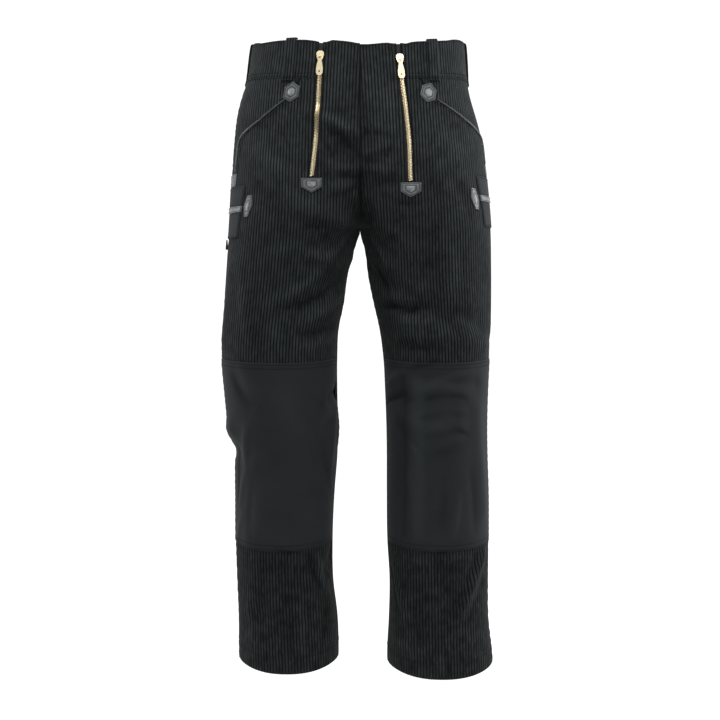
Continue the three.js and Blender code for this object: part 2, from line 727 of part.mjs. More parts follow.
// Patches at the top of the slanted pocket mouths and at the front end of the thigh pockets.
// Outlines run anticlockwise as seen on the left leg.
const MOUTH_PATCH_OUTLINE = [[0, 17.5], [-12.5, 8.5], [-12.5, -8.5], [0, -17.5], [12.5, -8.5], [12.5, 8.5]];
const MOUTH_PATCH = {
  right: { angle: 30.5, height: -50, tilt: 2 },
  left: { angle: 33.2, height: -51, tilt: 20 },
};
const THIGH_PATCH_OUTLINE = [[4.5, 17], [-4.5, 17], [-10, 0], [-4.5, -17], [4.5, -17], [9.5, 0]];
const THIGH_PATCH = {
  right: { angle: 42.5, height: -232, tilt: 4 },
  left: { angle: 48.5, height: -220, tilt: 4 },
};
function hexPatch(side, outline, places) {
  const place = places[side.name];
  return patchGeometry(side, place, turned(outline, place.tilt), PATCH_OUT, PATCH_OUT + PATCH_THICK);
}

// A cord of leather along the slanted pocket mouth.
const PIPING = { half: 1.9, low: 0.7, shoulder: 1.8, crown: 2.5 };
const PIPING_ENDS = { right: [-66, -177], left: [-63, -161] };
function pocketPiping(side) {
  const [top, bottom] = PIPING_ENDS[side.name];
  const inside = ROW_HEIGHTS.filter((height) => height < top - 2 && height > bottom + 2);
  const heights = [top, ...inside, bottom];
  const place = (height) => ringPoint(side, mouthLine[side.name](height), height);
  const across = [-PIPING.half, 0, PIPING.half];
  const pointAt = (row, column, layer) => {
    const height = heights[row];
    const before = place(heights[Math.max(row - 1, 0)]);
    const after = place(heights[Math.min(row + 1, heights.length - 1)]);
    const angle = mouthLine[side.name](height);
    const along = after.sub(before).normalize();
    const normal = surfaceNormal(ringPoint, side, angle, height);
    const outward = new THREE.Vector3().crossVectors(normal, along).multiplyScalar(side.sign);
    const face = column === 1 ? PIPING.crown : PIPING.shoulder;
    const step = across[column];
    const up = outward.z * step;
    const flat = Math.hypot(outward.x, outward.y) * step;
    const turn = flat / stretch(side, angle, height);
    return skinPoint(side, angle + turn, height + up, layer === 0 ? face : PIPING.low);
  };
  return wallGeometry(heights.length - 1, 2, pointAt, () => true, side.sign < 0);
}

// A rectangle of cloth or leather on the body, between two angles and two heights.
function bandOnBody(side, area, columnCells, rowCells, low, high) {
  const columns = spread(area.from, area.to, columnCells);
  const rows = spread(area.top, area.bottom, rowCells);
  const pointAt = (row, column, layer) => skinPoint(side, columns[column], rows[row], layer === 0 ? high : low);
  return wallGeometry(rowCells, columnCells, pointAt, () => true, side.sign < 0);
}

const MOUTH_END_PATCH = {
  right: { from: 65, to: 88, top: -178, bottom: -198.5 },
  left: { from: 77, to: 98, top: -162, bottom: -182.5 },
};
const THIGH_POCKET = {
  right: { from: 49.5, to: 122, underlayTop: -199, mouthTop: -231, mouthBottom: -241, bottom: -281 },
  left: { from: 55.5, to: 126, underlayTop: -183, mouthTop: -213, mouthBottom: -223, bottom: -263 },
};
const POCKET_OUT = 0.9;
const POCKET_THICK = 1.2;
const BINDING_THICK = 2.2;
function pocketStrip(side, top, bottom, rowCells, thick) {
  const { from, to } = THIGH_POCKET[side.name];
  const area = { from, to, top, bottom: bottom + SEAM_GAP };
  return bandOnBody(side, area, 8, rowCells, POCKET_OUT, POCKET_OUT + thick);
}

// The knee patch lies on the front panel and is made from its points.
const KNEE_OUT = 0.3;
const KNEE_THICK = 1.1;
function kneePatch(side) {
  const heights = ROW_HEIGHTS.filter((height) => height <= KNEE_TOP && height >= KNEE_BOTTOM);
  const columns = heights.map((height) => frontColumns(side, height, -SEAM_GAP));
  const pointAt = (row, column, layer) => {
    return sidePoint(side, columns[row][column], heights[row], KNEE_OUT + (1 - layer) * KNEE_THICK);
  };
  return wallGeometry(heights.length - 1, FRONT_LAST, pointAt, () => true, side.sign < 0);
}

// A small plain tab that stands out of the right side seam.
const TAB = { half: 0.5, reach: 4.5, top: -282, bottom: -298 };
function sideTab() {
  const angle = sideSeam.right(TAB.top);
  const turn = TAB.half / stretch(RIGHT, angle, TAB.top);
  const place = (height, out) => (layer) => skinPoint(RIGHT, angle + (layer === 0 ? -turn : turn), height, out);
  const corners = [
    [place(TAB.top, SEAM_GAP + 2.2), place(TAB.top, TAB.reach)],
    [place(TAB.bottom, SEAM_GAP), place(TAB.bottom, TAB.reach)],
  ];
  return wallGeometry(1, 1, (row, column, layer) => corners[row][column](layer), () => true, true);
}

for (const side of SIDES) {
  const { name } = side;
  addPiece(`front_${name}`, frontPanel(side), "corduroy");
  addPiece(`back_${name}`, backPanel(side), "corduroy");
  addPiece(`hip_facing_${name}`, hipFacing(side), "corduroy");
  addPiece(`waistband_${name}`, waistband(side), "corduroy");
  addPiece(`zip_tape_${name}`, zipTape(side), "tape");
  addPiece(`zip_chain_${name}`, zipChain(side), "brass");
  addPiece(`zip_end_patch_${name}`, zipEndPatch(side), "leather");
  addPiece(`mouth_patch_${name}`, hexPatch(side, MOUTH_PATCH_OUTLINE, MOUTH_PATCH), "leather");
  addPiece(`pocket_piping_${name}`, pocketPiping(side), "leather");
  const endPatch = bandOnBody(side, MOUTH_END_PATCH[name], 4, 2, PATCH_OUT, PATCH_OUT + PATCH_THICK);
  addPiece(`mouth_end_patch_${name}`, endPatch, "leather");
  const pocket = THIGH_POCKET[name];
  const underlay = pocketStrip(side, pocket.underlayTop, pocket.mouthTop, 2, POCKET_THICK);
  addPiece(`thigh_pocket_underlay_${name}`, underlay, "plainCloth");
  const binding = pocketStrip(side, pocket.mouthTop, pocket.mouthBottom, 1, BINDING_THICK);
  addPiece(`thigh_pocket_binding_${name}`, binding, "leather");
  const face = pocketStrip(side, pocket.mouthBottom, pocket.bottom, 2, POCKET_THICK);
  addPiece(`thigh_pocket_face_${name}`, face, "plainCloth");
  addPiece(`thigh_pocket_patch_${name}`, hexPatch(side, THIGH_PATCH_OUTLINE, THIGH_PATCH), "leather");
  addPiece(`knee_patch_${name}`, kneePatch(side), "plainCloth");
}
addPiece("side_tab", sideTab(), "tab");

// Belt loops: angle on the ring of the side that each is placed from.
const LOOPS = [
  { name: "front_right", side: RIGHT, angle: 34.5 },
  { name: "front_left", side: LEFT, angle: 38.5 },
  { name: "side_right", side: RIGHT, angle: 92 },
  { name: "side_left", side: LEFT, angle: 92 },
  { name: "back", side: LEFT, angle: 180 },
];
for (const loop of LOOPS) {
  addPiece(`belt_loop_${loop.name}`, beltLoop(loop.side, loop.angle), "corduroy");
}

// Sliders and pull tabs, each pull hanging from the bar of its slider.
for (const side of SIDES) {
  const holder = new THREE.Group();
  holder.applyMatrix4(sliderFrame(side));
  trousers.add(holder);
  addPiece(`zip_slider_${side.name}`, sliderGeometry(), "brass", holder);
  const pull = addPiece(`zip_pull_${side.name}`, pullGeometry(), "brass", holder);
  pull.position.set(0, BAR_Y, BAR_Z);
  pull.rotation.x = radians(PULL_TILT);
}

export default trousers;
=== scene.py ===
# Corduroy work trousers, worn form with no wearer: wide-wale cotton, smooth knee patches, grey leather trims
# and two brass front zips. Lengths are in millimetres until a mesh is made. A place on the cloth is an angle
# in degrees round its leg (0 front crease, 90 outer side, 180 back, -90 inner side) and a height.
import math

import bpy
import numpy as np
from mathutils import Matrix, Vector


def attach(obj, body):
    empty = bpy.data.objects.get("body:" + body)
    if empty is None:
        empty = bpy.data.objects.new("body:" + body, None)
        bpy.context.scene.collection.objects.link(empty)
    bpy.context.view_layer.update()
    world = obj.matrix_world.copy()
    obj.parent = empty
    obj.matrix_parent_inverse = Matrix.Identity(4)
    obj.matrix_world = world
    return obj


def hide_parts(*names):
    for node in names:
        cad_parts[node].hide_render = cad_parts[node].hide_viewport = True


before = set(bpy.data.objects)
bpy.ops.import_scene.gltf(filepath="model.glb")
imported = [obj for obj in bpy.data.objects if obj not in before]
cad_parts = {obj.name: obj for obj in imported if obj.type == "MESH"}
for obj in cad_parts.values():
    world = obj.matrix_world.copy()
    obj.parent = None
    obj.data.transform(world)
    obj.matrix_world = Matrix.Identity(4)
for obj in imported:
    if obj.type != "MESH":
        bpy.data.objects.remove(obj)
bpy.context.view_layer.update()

# Front and back panels. Each leg is cut as one front and one back from black wide-wale cotton corduroy, sewn
# at the side seam, the inseam and the centre, and turned up inside at the hem. They fill out the ovals of the
# worn form, and their ribs run down the straight grain and end at the seams.
RIGHT, LEFT = -1, 1
SIDES = {"right": RIGHT, "left": LEFT}
TOP_EDGE = 34.0
BAND_SEAM = -27.0
SPLIT_HEIGHT = -110.0
SPLIT_EASE = 1.5
ZIP_END = -208.0
CROTCH = -266.0
KNEE_TOP = -476.0
KNEE_BOTTOM = -779.0
HEM_LINE = -945.0
HEM = {RIGHT: -976.0, LEFT: -985.0}
MOUTH_END = {RIGHT: -190.0, LEFT: -170.0}
CLOTH = 2.0
HEM_CLOTH = 3.4
SEAM_GAP = 0.3
SEAM_MEET = 0.04
SLOT_HALF = 5.0
OVAL_POWER = 2.3
MM_PER_DEGREE = 1.7

# The section of the body at each height: distances from the middle, then depths, then the tilt of its rim.
SECTION_COLUMNS = (
    "height", "right_outer", "right_inner", "left_inner", "left_outer", "front", "back", "front_drop",
    "back_rise",
)
SECTIONS = (
    (50, 172, 0, 0, 168, 109, 111, 14, 8),
    (34, 174, 0, 0, 169, 110, 112, 14, 8),
    (-22, 183, 0, 0, 174, 117, 117, 11, 6),
    (-52, 193, 0, 0, 180, 121, 121, 9, 4),
    (-85, 201, 0, 0, 190, 125, 127, 6, 2),
    (-120, 205, 0, 0, 199, 128, 134, 4, 0),
    (-160, 208, 0, 0, 204, 129, 140, 2, 0),
    (-215, 211, 0, 0, 210, 127, 141, 1, 0),
    (-266, 214, 0, 0, 214, 121, 130, 0, 0),
    (-300, 217, 11, 9, 215, 115, 118, 0, 0),
    (-340, 220, 21, 14, 215, 108, 106, 1, 0),
    (-385, 223, 27, 23, 214, 101, 97, 2, 0),
    (-430, 226, 36, 33, 213, 95, 90, 3, 0),
    (-476, 228, 38, 39, 213, 90, 84, 4, 0),
    (-530, 224, 38, 42, 211, 86, 78, 4, 0),
    (-580, 219, 37, 44, 210, 83, 74, 5, 0),
    (-640, 208, 38, 45, 211, 80, 74, 5, 0),
    (-690, 207, 42, 45, 213, 77, 77, 6, 0),
    (-779, 207, 46, 46, 214, 74, 81, 7, 0),
    (-850, 205, 45, 50, 214, 72, 81, 9, 0),
    (-910, 203, 38, 49, 215, 71, 80, 11, 0),
    (-975, 203, 36, 46, 222, 72, 78, 13, 0),
    (-990, 203, 36, 46, 223, 72, 78, 13, 0),
)
LINE_COLUMNS = ("height", "right", "left", "inseam")
# Distance of each zip, and of the leg's straight grain, from the centre front.
ZIP_LINE = (
    (50, 60, 59), (34, 60.5, 59.5), (-25, 63, 64.5), (-80, 65.5, 71), (-134, 69, 76), (-190, 75, 78),
    (-222, 79, 81),
)
GRAIN_LINE = (
    (60, 100, 96), (-110, 108, 105), (-266, 113, 112), (-340, 120, 114.5), (-476, 133, 126),
    (-530, 131, 127), (-640, 125, 128), (-779, 127, 130), (-1000, 120, 134),
)
# Ring angles of the slanted pocket mouth, the side seams and the inseam.
MOUTH_LINE = (
    (34, 26, 26), (-27, 27, 29), (-50, 29.5, 33), (-66, 35, 40), (-82, 42, 50), (-96, 49, 60),
    (-108, 58, 71), (-119, 66, 81), (-132, 69, 84), (-170, 69, 84), (-190, 68, 80), (-266, 50, 58),
    (-340, 38, 40), (-1000, 38, 38),
)
SEAM_LINE = (
    (50, 88, 92, -90), (-120, 86, 94, -90), (-266, 86, 92, -90), (-400, 83, 85, -84), (-480, 81, 82, -80),
    (-1000, 82, 82, -80),
)
# The large folds that the solids have too: a ridge, or a trough where rise is negative, between two points.
# Columns: angle and height of one end, angle and height of the other, half width, rise.
LARGE_FOLDS = {
    RIGHT: (
        # front
        (14, -88, -4, -140, 13, 4.5), (8, -120, -8, -160, 12, -3), (-6, -163, -28, -170, 11, 3),
        (-62, -246, -30, -262, 13, 5), (-72, -278, -18, -300, 14, -4), (-76, -312, -30, -330, 16, 4.5),
        (-60, -350, -10, -385, 16, -3.5), (55, -330, 70, -440, 20, 3), (-96, -524, -62, -540, 15, -6),
        (-70, -556, -56, -640, 15, 3), (62, -586, 110, -604, 14, 4), (60, -622, 110, -638, 14, -5),
        (30, -640, 38, -760, 16, 3), (-85, -796, -50, -830, 15, -4), (-40, -840, 10, -870, 18, 3),
        (20, -880, 60, -930, 17, -3),
        # seat and back
        (210, -290, 248, -276, 20, -4), (205, -328, 246, -312, 18, 4), (150, -300, 215, -345, 18, -4.5),
        (190, -180, 240, -225, 20, 3.5), (140, -560, 240, -580, 17, -5.5), (145, -600, 225, -618, 17, 4.5),
        (150, -640, 240, -655, 16, -4), (150, -800, 230, -860, 18, 4),
    ),
    LEFT: (
        # front
        (-32, -166, -6, -174, 12, 3), (-32, -182, -8, -194, 11, -3.5), (-62, -250, -32, -270, 13, 4.5),
        (-20, -392, 45, -412, 17, -5), (-25, -430, 55, -448, 17, 4), (-75, -330, -35, -366, 14, -3.5),
        (60, -300, 75, -420, 20, 3), (-20, -500, 40, -512, 14, -3.5), (-50, -540, 10, -552, 15, -3.5),
        (-45, -572, 20, -580, 15, 3), (45, -560, 55, -720, 18, 3), (55, -795, 18, -880, 11, 5.5),
        (40, -800, 8, -880, 12, -3), (-60, -850, -20, -890, 17, 3),
        # seat and back
        (210, -290, 248, -276, 20, -4), (205, -330, 246, -314, 18, 4), (150, -306, 212, -350, 18, -4.5),
        (188, -176, 238, -222, 20, 3.5), (138, -548, 236, -562, 17, -5.5), (150, -590, 232, -604, 17, 4.5),
        (145, -630, 225, -648, 16, -4), (140, -830, 225, -790, 18, 4),
    ),
}
# Finer creases of the front, uneven in length, depth and spacing, each placed where the photo shows it.
# Columns: x and y of one end and of the other, in pixels of the photo, then bend, half width and rise in
# millimetres on the cloth. Bend is how far the middle of a crease bows to one side.
PHOTO_CREASES = {
    RIGHT: (
        # flap
        (326, 116, 352, 132, 2, 4.5, 3.8), (332, 127, 360, 158, 3, 5, -2.6),
        (322, 104, 346, 119, -2, 6, -1.0), (330, 164, 360, 171, 3, 5, 1.8),
        (334, 174, 361, 179, -2, 5, -2.4), (326, 184, 352, 190, 0, 8, 1.2),
        (340, 196, 358, 186, 0, 7, -1.2), (328, 150, 345, 158, 0, 9, -1.0), (338, 60, 342, 100, 2, 10, 0.8),
        (352, 62, 350, 110, 0, 8, -0.8), (357, 166, 357, 224, 0, 8, -2.0), (352, 205, 357, 222, 0, 6, -1.2),
        (331, 205, 345, 224, 4, 9, 1.4),
        # hip and thigh
        (262, 150, 292, 178, 4, 12, 1.4), (250, 170, 286, 205, 4, 12, -0.7),
        (287, 190, 322, 216, 3, 9, 2.0), (300, 222, 330, 228, 2, 8, -1.6), (300, 249, 327, 256, 3, 5, 2.2),
        (327, 257, 351, 232, 3, 6, 1.8), (302, 260, 332, 266, 2, 6, -1.8), (270, 301, 318, 274, 5, 8, 2.6),
        (284, 309, 332, 288, 4, 7, -2.2), (304, 320, 338, 301, 3, 8, 2.0), (300, 334, 334, 326, 2, 6, -1.6),
        (296, 346, 332, 338, 2, 6, 1.4), (258, 262, 292, 246, 3, 10, 1.0),
        (250, 300, 262, 350, 4, 10, -0.6), (240, 262, 246, 330, 3, 10, 1.2),
        (275, 322, 282, 356, 2, 8, 0.9),
        # knee
        (233, 374, 250, 406, 3, 8, -2.4), (241, 368, 259, 398, 3, 8, 1.6), (246, 428, 247, 470, 3, 7, 2.4),
        (247, 470, 241, 506, 2, 8, 1.4), (238, 446, 240, 500, 1, 6, -1.4), (329, 399, 319, 409, 2, 6, -1.2),
        (337, 412, 336, 446, 0, 9, 1.8), (335, 405, 322, 424, 3, 7, 1.6), (255, 470, 250, 540, 3, 8, -1.2),
        (262, 486, 257, 534, 2, 9, 1.2), (322, 440, 328, 486, 3, 8, -1.0), (280, 380, 296, 430, 5, 14, 1.0),
        (244, 512, 238, 548, 2, 8, 1.2),
        # shin
        (307, 554, 319, 584, 2, 5, -2.4), (318, 556, 326, 592, 2, 6, 1.8), (264, 556, 262, 640, 3, 9, -0.6),
        (275, 566, 276, 600, 2, 8, 0.6), (289, 600, 292, 644, 2, 9, -1.0), (301, 590, 304, 650, 2, 8, 1.2),
        (276, 549, 292, 552, 1, 5, -1.6), (326, 606, 322, 644, 2, 7, -1.2), (248, 600, 252, 646, 2, 7, 1.0),
        (320, 560, 331, 602, -3, 6, 1.0),
    ),
    LEFT: (
        # flap
        (368, 131, 388, 139, 2, 5, -1.4), (368, 124, 392, 131, 2, 6, 1.0), (370, 157, 398, 141, 3, 5, 1.3),
        (368, 163, 395, 150, 3, 5, -1.5), (369, 178, 396, 166, 3, 6, 1.2), (371, 190, 392, 181, 0, 6, -1.2),
        (378, 80, 384, 125, 2, 11, 1.0), (374, 200, 384, 228, 4, 9, 1.2), (368, 162, 366, 226, 0, 8, -2.2),
        (369, 205, 372, 228, 2, 6, -1.2), (364, 100, 366, 158, 2, 7, -1.0),
        # hip and thigh
        (384, 307, 412, 313, 3, 5, -3.0), (410, 312, 428, 306, 2, 6, -1.8), (388, 297, 416, 303, 3, 6, 1.6),
        (394, 322, 432, 321, 3, 7, 2.0), (398, 346, 436, 350, 2, 6, -1.8), (396, 336, 424, 334, 2, 6, 1.0),
        (373, 240, 386, 268, 3, 5, 1.8), (376, 266, 390, 304, 3, 7, -1.8), (398, 232, 412, 256, 3, 9, 1.2),
        (424, 224, 438, 284, 6, 10, -0.8), (446, 236, 452, 300, 4, 11, 1.4),
        (452, 176, 470, 224, 4, 9, -1.2), (428, 128, 462, 170, 5, 11, 1.2),
        (420, 160, 436, 200, 3, 9, -1.0), (397, 202, 420, 205, 1, 5, -2.2),
        (440, 318, 466, 344, 3, 8, -0.6), (412, 262, 430, 268, 2, 6, -1.2), (404, 280, 428, 288, 2, 7, 1.0),
        # knee
        (418, 386, 420, 534, -3, 10, 2.8), (402, 380, 403, 534, -2, 10, -3.2),
        (414, 384, 415, 534, -2, 6, 1.2), (388, 404, 406, 394, 2, 5, -2.2), (390, 383, 412, 369, 2, 6, 1.4),
        (409, 408, 430, 404, 2, 6, 0.8), (418, 421, 438, 418, 2, 5, -1.5), (420, 434, 436, 430, 2, 7, 1.0),
        (424, 404, 440, 397, 2, 6, -1.8), (440, 397, 465, 399, 2, 5, -1.6), (422, 391, 452, 387, 3, 6, 1.3),
        (436, 409, 464, 412, 3, 7, 1.3), (430, 428, 452, 430, 1, 6, 1.2), (447, 431, 466, 434, 2, 5, -1.5),
        (442, 444, 460, 441, 3, 6, 1.0), (432, 456, 450, 452, 2, 6, -0.9), (428, 386, 470, 371, 3, 7, 1.4),
        (402, 374, 444, 363, 3, 6, -1.4), (412, 440, 420, 452, 1, 5, -1.4),
        (445, 478, 442, 532, 1, 6, -1.0), (458, 494, 452, 536, 2, 6, 1.4), (470, 470, 474, 530, 1, 8, -1.0),
        (410, 470, 415, 540, 2, 7, 1.2),
        # shin
        (479, 552, 463, 603, 4, 6, 1.0), (486, 560, 470, 612, 4, 7, -0.5), (416, 622, 426, 638, 3, 9, -1.2),
        (406, 560, 432, 566, 3, 8, 1.0), (436, 556, 446, 552, 1, 5, -1.4), (446, 560, 464, 556, 1, 6, 1.2),
        (398, 588, 404, 620, 2, 7, 1.2), (392, 570, 398, 604, 2, 6, -1.4), (424, 578, 444, 606, 4, 9, 1.0),
        (440, 586, 452, 610, 3, 9, -0.6), (450, 634, 476, 640, 2, 6, 1.2), (394, 640, 424, 652, 2, 7, 1.2),
        (447, 655, 450, 676, 0, 4, -1.6), (441, 655, 444, 675, 0, 4, 1.2),
    ),
}
# Similar creases that the photo cannot see: on the seat, under it, behind the knees, at the sides and on the
# calves. Columns: angle and height of one end and of the other, bend, half width, rise.
BACK_CREASES = {
    RIGHT: (
        (200, -120, 232, -170, 6, 14, 1.6), (168, -150, 196, -205, 5, 15, -1.4),
        (128, -236, 152, -262, 4, 9, 1.6), (206, -296, 236, -286, 4, 6, -2.4),
        (188, -312, 224, -300, 4, 6, 1.8), (160, -330, 196, -322, 3, 7, -1.8),
        (214, -342, 246, -330, 3, 6, 1.6), (140, -372, 166, -420, 5, 12, 1.4),
        (186, -380, 190, -470, 6, 13, 1.2), (212, -400, 208, -486, 4, 12, -1.4),
        (150, -520, 186, -532, 3, 6, 1.8), (182, -540, 228, -528, 4, 5, -2.4),
        (140, -572, 172, -560, 3, 5, -2.2), (168, -592, 214, -584, 4, 5, 2.0),
        (196, -606, 238, -596, 3, 5, -1.8), (136, -618, 164, -628, 3, 6, 1.6),
        (160, -664, 204, -672, 4, 6, -1.6), (206, -690, 236, -676, 3, 7, 1.4),
        (150, -720, 158, -790, 4, 11, 1.2), (196, -730, 190, -820, 5, 12, -1.4),
        (222, -800, 212, -880, 4, 10, 1.4), (150, -850, 176, -900, 4, 9, -1.6),
        (176, -900, 206, -930, 3, 8, 1.4), (118, -700, 124, -800, 4, 10, 1.0),
        (106, -420, 110, -520, 4, 10, -1.2), (112, -300, 122, -372, 4, 10, 1.2),
        (100, -820, 110, -900, 3, 9, -1.2), (244, -420, 240, -500, 3, 9, 1.2),
        (250, -640, 246, -720, 3, 9, -1.2),
    ),
    LEFT: (
        (204, -118, 228, -176, 6, 14, 1.4), (164, -146, 190, -198, 5, 15, -1.2),
        (130, -224, 156, -252, 4, 9, 1.6), (202, -300, 238, -290, 4, 6, -2.2),
        (186, -318, 220, -304, 4, 6, 1.6), (156, -336, 190, -330, 3, 7, -1.6),
        (212, -350, 244, -338, 3, 6, 1.4), (136, -366, 170, -402, 5, 12, 1.4),
        (184, -392, 186, -462, 6, 13, 1.0), (214, -396, 212, -470, 4, 12, -1.2),
        (146, -512, 180, -524, 3, 6, 1.8), (184, -532, 226, -520, 4, 5, -2.2),
        (138, -560, 170, -548, 3, 5, -2.0), (166, -578, 210, -572, 4, 5, 2.0),
        (194, -596, 236, -588, 3, 5, -1.8), (134, -612, 160, -622, 3, 6, 1.6),
        (158, -650, 200, -660, 4, 6, -1.6), (206, -676, 238, -664, 3, 7, 1.2),
        (148, -712, 154, -786, 4, 11, 1.4), (194, -720, 192, -806, 5, 12, -1.2),
        (224, -780, 216, -860, 4, 10, 1.2), (148, -840, 172, -892, 4, 9, -1.4),
        (176, -896, 204, -936, 3, 8, 1.6), (114, -690, 120, -790, 4, 10, -1.0),
        (104, -430, 108, -530, 4, 10, 1.2), (112, -290, 120, -360, 4, 10, -1.2),
        (102, -810, 112, -890, 3, 9, 1.2), (246, -430, 242, -510, 3, 9, -1.2),
        (250, -630, 248, -710, 3, 9, 1.2),
    ),
}
# Every rise in both tables is deepened by this factor, so that it shows under the ribs.
CREASE_DEPTH = 1.6

# The camera of the photo and of the studio: how far in front it stands, its height, downward tilt and lens.
CAMERA_DISTANCE = 2000.0
CAMERA_HEIGHT = -363.8
CAMERA_PITCH = 3.325
CAMERA_LENS = 60.24
SENSOR_WIDTH = 36.0
PHOTO_SIZE = 720

# How the top edge waves: the rise or dip of its rim at each angle, which dies away down the waistband.
TOP_WAVES = {
    RIGHT: (
        (-5, -2.6), (0.9, -1.7), (3, 0.2), (6, 1.5), (9, 2.3), (11.5, 2.8), (14.5, -0.4), (18, -0.5),
        (21, 1.2), (26, 2.5), (32, 2.3), (44, 0.6), (55, -1.6), (62, -2.6), (72, -0.6), (90, 0.5),
        (120, -1.5), (150, 1.2), (180, 0),
    ),
    LEFT: (
        (-5, -3), (0.9, -3.6), (3, -3.4), (6, -2.6), (9, -1.6), (12, -1.3), (15, -2.8), (18, -2),
        (21.7, -3.4), (25, -1), (29, -0.2), (46, 0.5), (52, 1.0), (58, 2.8), (65, 3.6), (80, 3), (110, 0.5),
        (145, -1.4), (180, 0),
    ),
}
WAVE_REACH = 45.0


def column_reader(columns, rows, name, smooth):
    """A function of height that reads one column of a table, along a curve or straight lines."""
    place = columns.index(name)
    heights = np.array([row[0] for row in rows][::-1], float)
    values = np.array([row[place] for row in rows][::-1], float)
    if not smooth:
        return lambda height: np.interp(height, heights, values)
    steps = np.diff(heights)
    rises = np.diff(values) / steps
    inner_slopes = (rises[:-1] * steps[1:] + rises[1:] * steps[:-1]) / (steps[:-1] + steps[1:])
    slopes = np.concatenate([rises[:1], inner_slopes, rises[-1:]])

    def read(height):
        i = np.clip(np.searchsorted(heights, height) - 1, 0, len(steps) - 1)
        t = np.clip((height - heights[i]) / steps[i], 0, 1)
        start = (2 * t**3 - 3 * t**2 + 1) * values[i] + (t**3 - 2 * t**2 + t) * steps[i] * slopes[i]
        return start + (3 * t**2 - 2 * t**3) * values[i + 1] + (t**3 - t**2) * steps[i] * slopes[i + 1]

    return read


def line_by_side(rows, smooth):
    return {side: column_reader(LINE_COLUMNS, rows, name, smooth) for name, side in SIDES.items()}


section = {name: column_reader(SECTION_COLUMNS, SECTIONS, name, True) for name in SECTION_COLUMNS[1:]}
zip_line = line_by_side(ZIP_LINE, True)
grain_line = line_by_side(GRAIN_LINE, True)
mouth_line = line_by_side(MOUTH_LINE, False)
side_seam = line_by_side(SEAM_LINE, False)
inseam = column_reader(LINE_COLUMNS, SEAM_LINE, "inseam", False)


def oval(side, height):
    """The middle, half width, depths and cut of a leg's oval, cut at the centre line above the crotch."""
    name = "right" if side < 0 else "left"
    outer = section[f"{name}_outer"](height)
    inner = np.maximum(section[f"{name}_inner"](height), 0)
    in_leg = height < CROTCH
    above = np.clip((SPLIT_HEIGHT - height) / (SPLIT_HEIGHT - CROTCH), 0, 1)
    cut = np.where(in_leg, 1, above ** SPLIT_EASE)
    middle = np.where(in_leg, (outer + inner) / 2, outer * cut / (1 + cut))
    half = np.where(in_leg, (outer - inner) / 2, outer / (1 + cut))
    return middle, half, section["front"](height), section["back"](height), cut


def signed_power(value, power):
    return np.sign(value) * np.abs(value) ** power


def ring_points(side, angle, height):
    """Points of the smooth body, before its folds."""
    middle, half, front, back, _ = oval(side, height)
    s = np.sin(np.radians(angle))
    c = np.cos(np.radians(angle))
    x = middle + half * signed_power(s, 2 / OVAL_POWER)
    y = np.where(c > 0, -front, back) * np.abs(c) ** (2 / OVAL_POWER)
    z = height + np.where(c > 0, -section["front_drop"](height), section["back_rise"](height)) * c * c
    return np.stack([side * x, y, z], -1)


def normals_of(points, side):
    """Outward directions of a lattice whose rows go up in height and whose columns go up in angle."""
    normal = np.cross(np.gradient(points, axis=1), np.gradient(points, axis=0)) * side
    return normal / np.linalg.norm(normal, axis=-1, keepdims=True)


# One leg's lattice: a row of points round the leg every 2 mm of height, measured from the crotch.
ANGLES = np.arange(-106.0, 286.1, 0.6)
HEIGHTS = CROTCH + np.arange(-372, 164) * 2.0
# A tapered crease has this share of its rise at its very ends.
END_SHARE = 0.3


def add_fold(rise, angle_1, height_1, angle_2, height_2, bend, half_width, size, tapered):
    """Adds one ridge or trough to a lattice of heights. Distances are taken on the cloth."""
    reach = 3 * half_width
    wide = abs(angle_2 - angle_1) / 2 + (reach + abs(bend)) / MM_PER_DEGREE
    tall = abs(height_2 - height_1) / 2 + reach + abs(bend)
    columns = np.abs(ANGLES - (angle_1 + angle_2) / 2) < wide
    rows = np.abs(HEIGHTS - (height_1 + height_2) / 2) < tall
    across = (ANGLES[columns] - angle_1)[None, :] * MM_PER_DEGREE
    up = (HEIGHTS[rows] - height_1)[:, None]
    run = np.array([(angle_2 - angle_1) * MM_PER_DEGREE, height_2 - height_1])
    length = np.hypot(*run)
    run = run / length
    along = np.clip((across * run[0] + up * run[1]) / length, 0, 1)
    bow = 4 * bend * along * (1 - along)
    off_x = across - along * length * run[0] + bow * run[1]
    off_y = up - along * length * run[1] - bow * run[0]
    share = END_SHARE + (1 - END_SHARE) * np.sin(np.pi * (0.06 + 0.88 * along)) if tapered else 1.0
    rise[np.ix_(rows, columns)] += size * share * np.exp(-(off_x**2 + off_y**2) / half_width**2)


def photo_pixels(points):
    """Where the camera sees points, in pixels of the photo."""
    pitch = math.radians(CAMERA_PITCH)
    focal = CAMERA_LENS / SENSOR_WIDTH * PHOTO_SIZE
    ahead = points[..., 1] + CAMERA_DISTANCE
    up = points[..., 2] - CAMERA_HEIGHT
    depth = ahead * math.cos(pitch) - up * math.sin(pitch)
    rise = ahead * math.sin(pitch) + up * math.cos(pitch)
    return PHOTO_SIZE / 2 + focal * points[..., 0] / depth, PHOTO_SIZE / 2 - focal * rise / depth


def front_creases(side):
    """One leg's front creases, with their ends as angles and heights of the cloth seen at their pixels."""
    angle, height = np.meshgrid(np.arange(-90, 90.1, 0.5), np.arange(TOP_EDGE, HEM[side], -1.0))
    points = ring_points(side, angle, height)
    x, y = photo_pixels(points)
    x = np.where(side * points[..., 0] < 0, np.inf, x)

    def seen_at(pixel_x, pixel_y):
        spot = np.argmin((x - pixel_x) ** 2 + (y - pixel_y) ** 2)
        return angle.flat[spot], height.flat[spot]

    return [(*seen_at(*row[:2]), *seen_at(*row[2:4]), *row[4:]) for row in PHOTO_CREASES[side]]
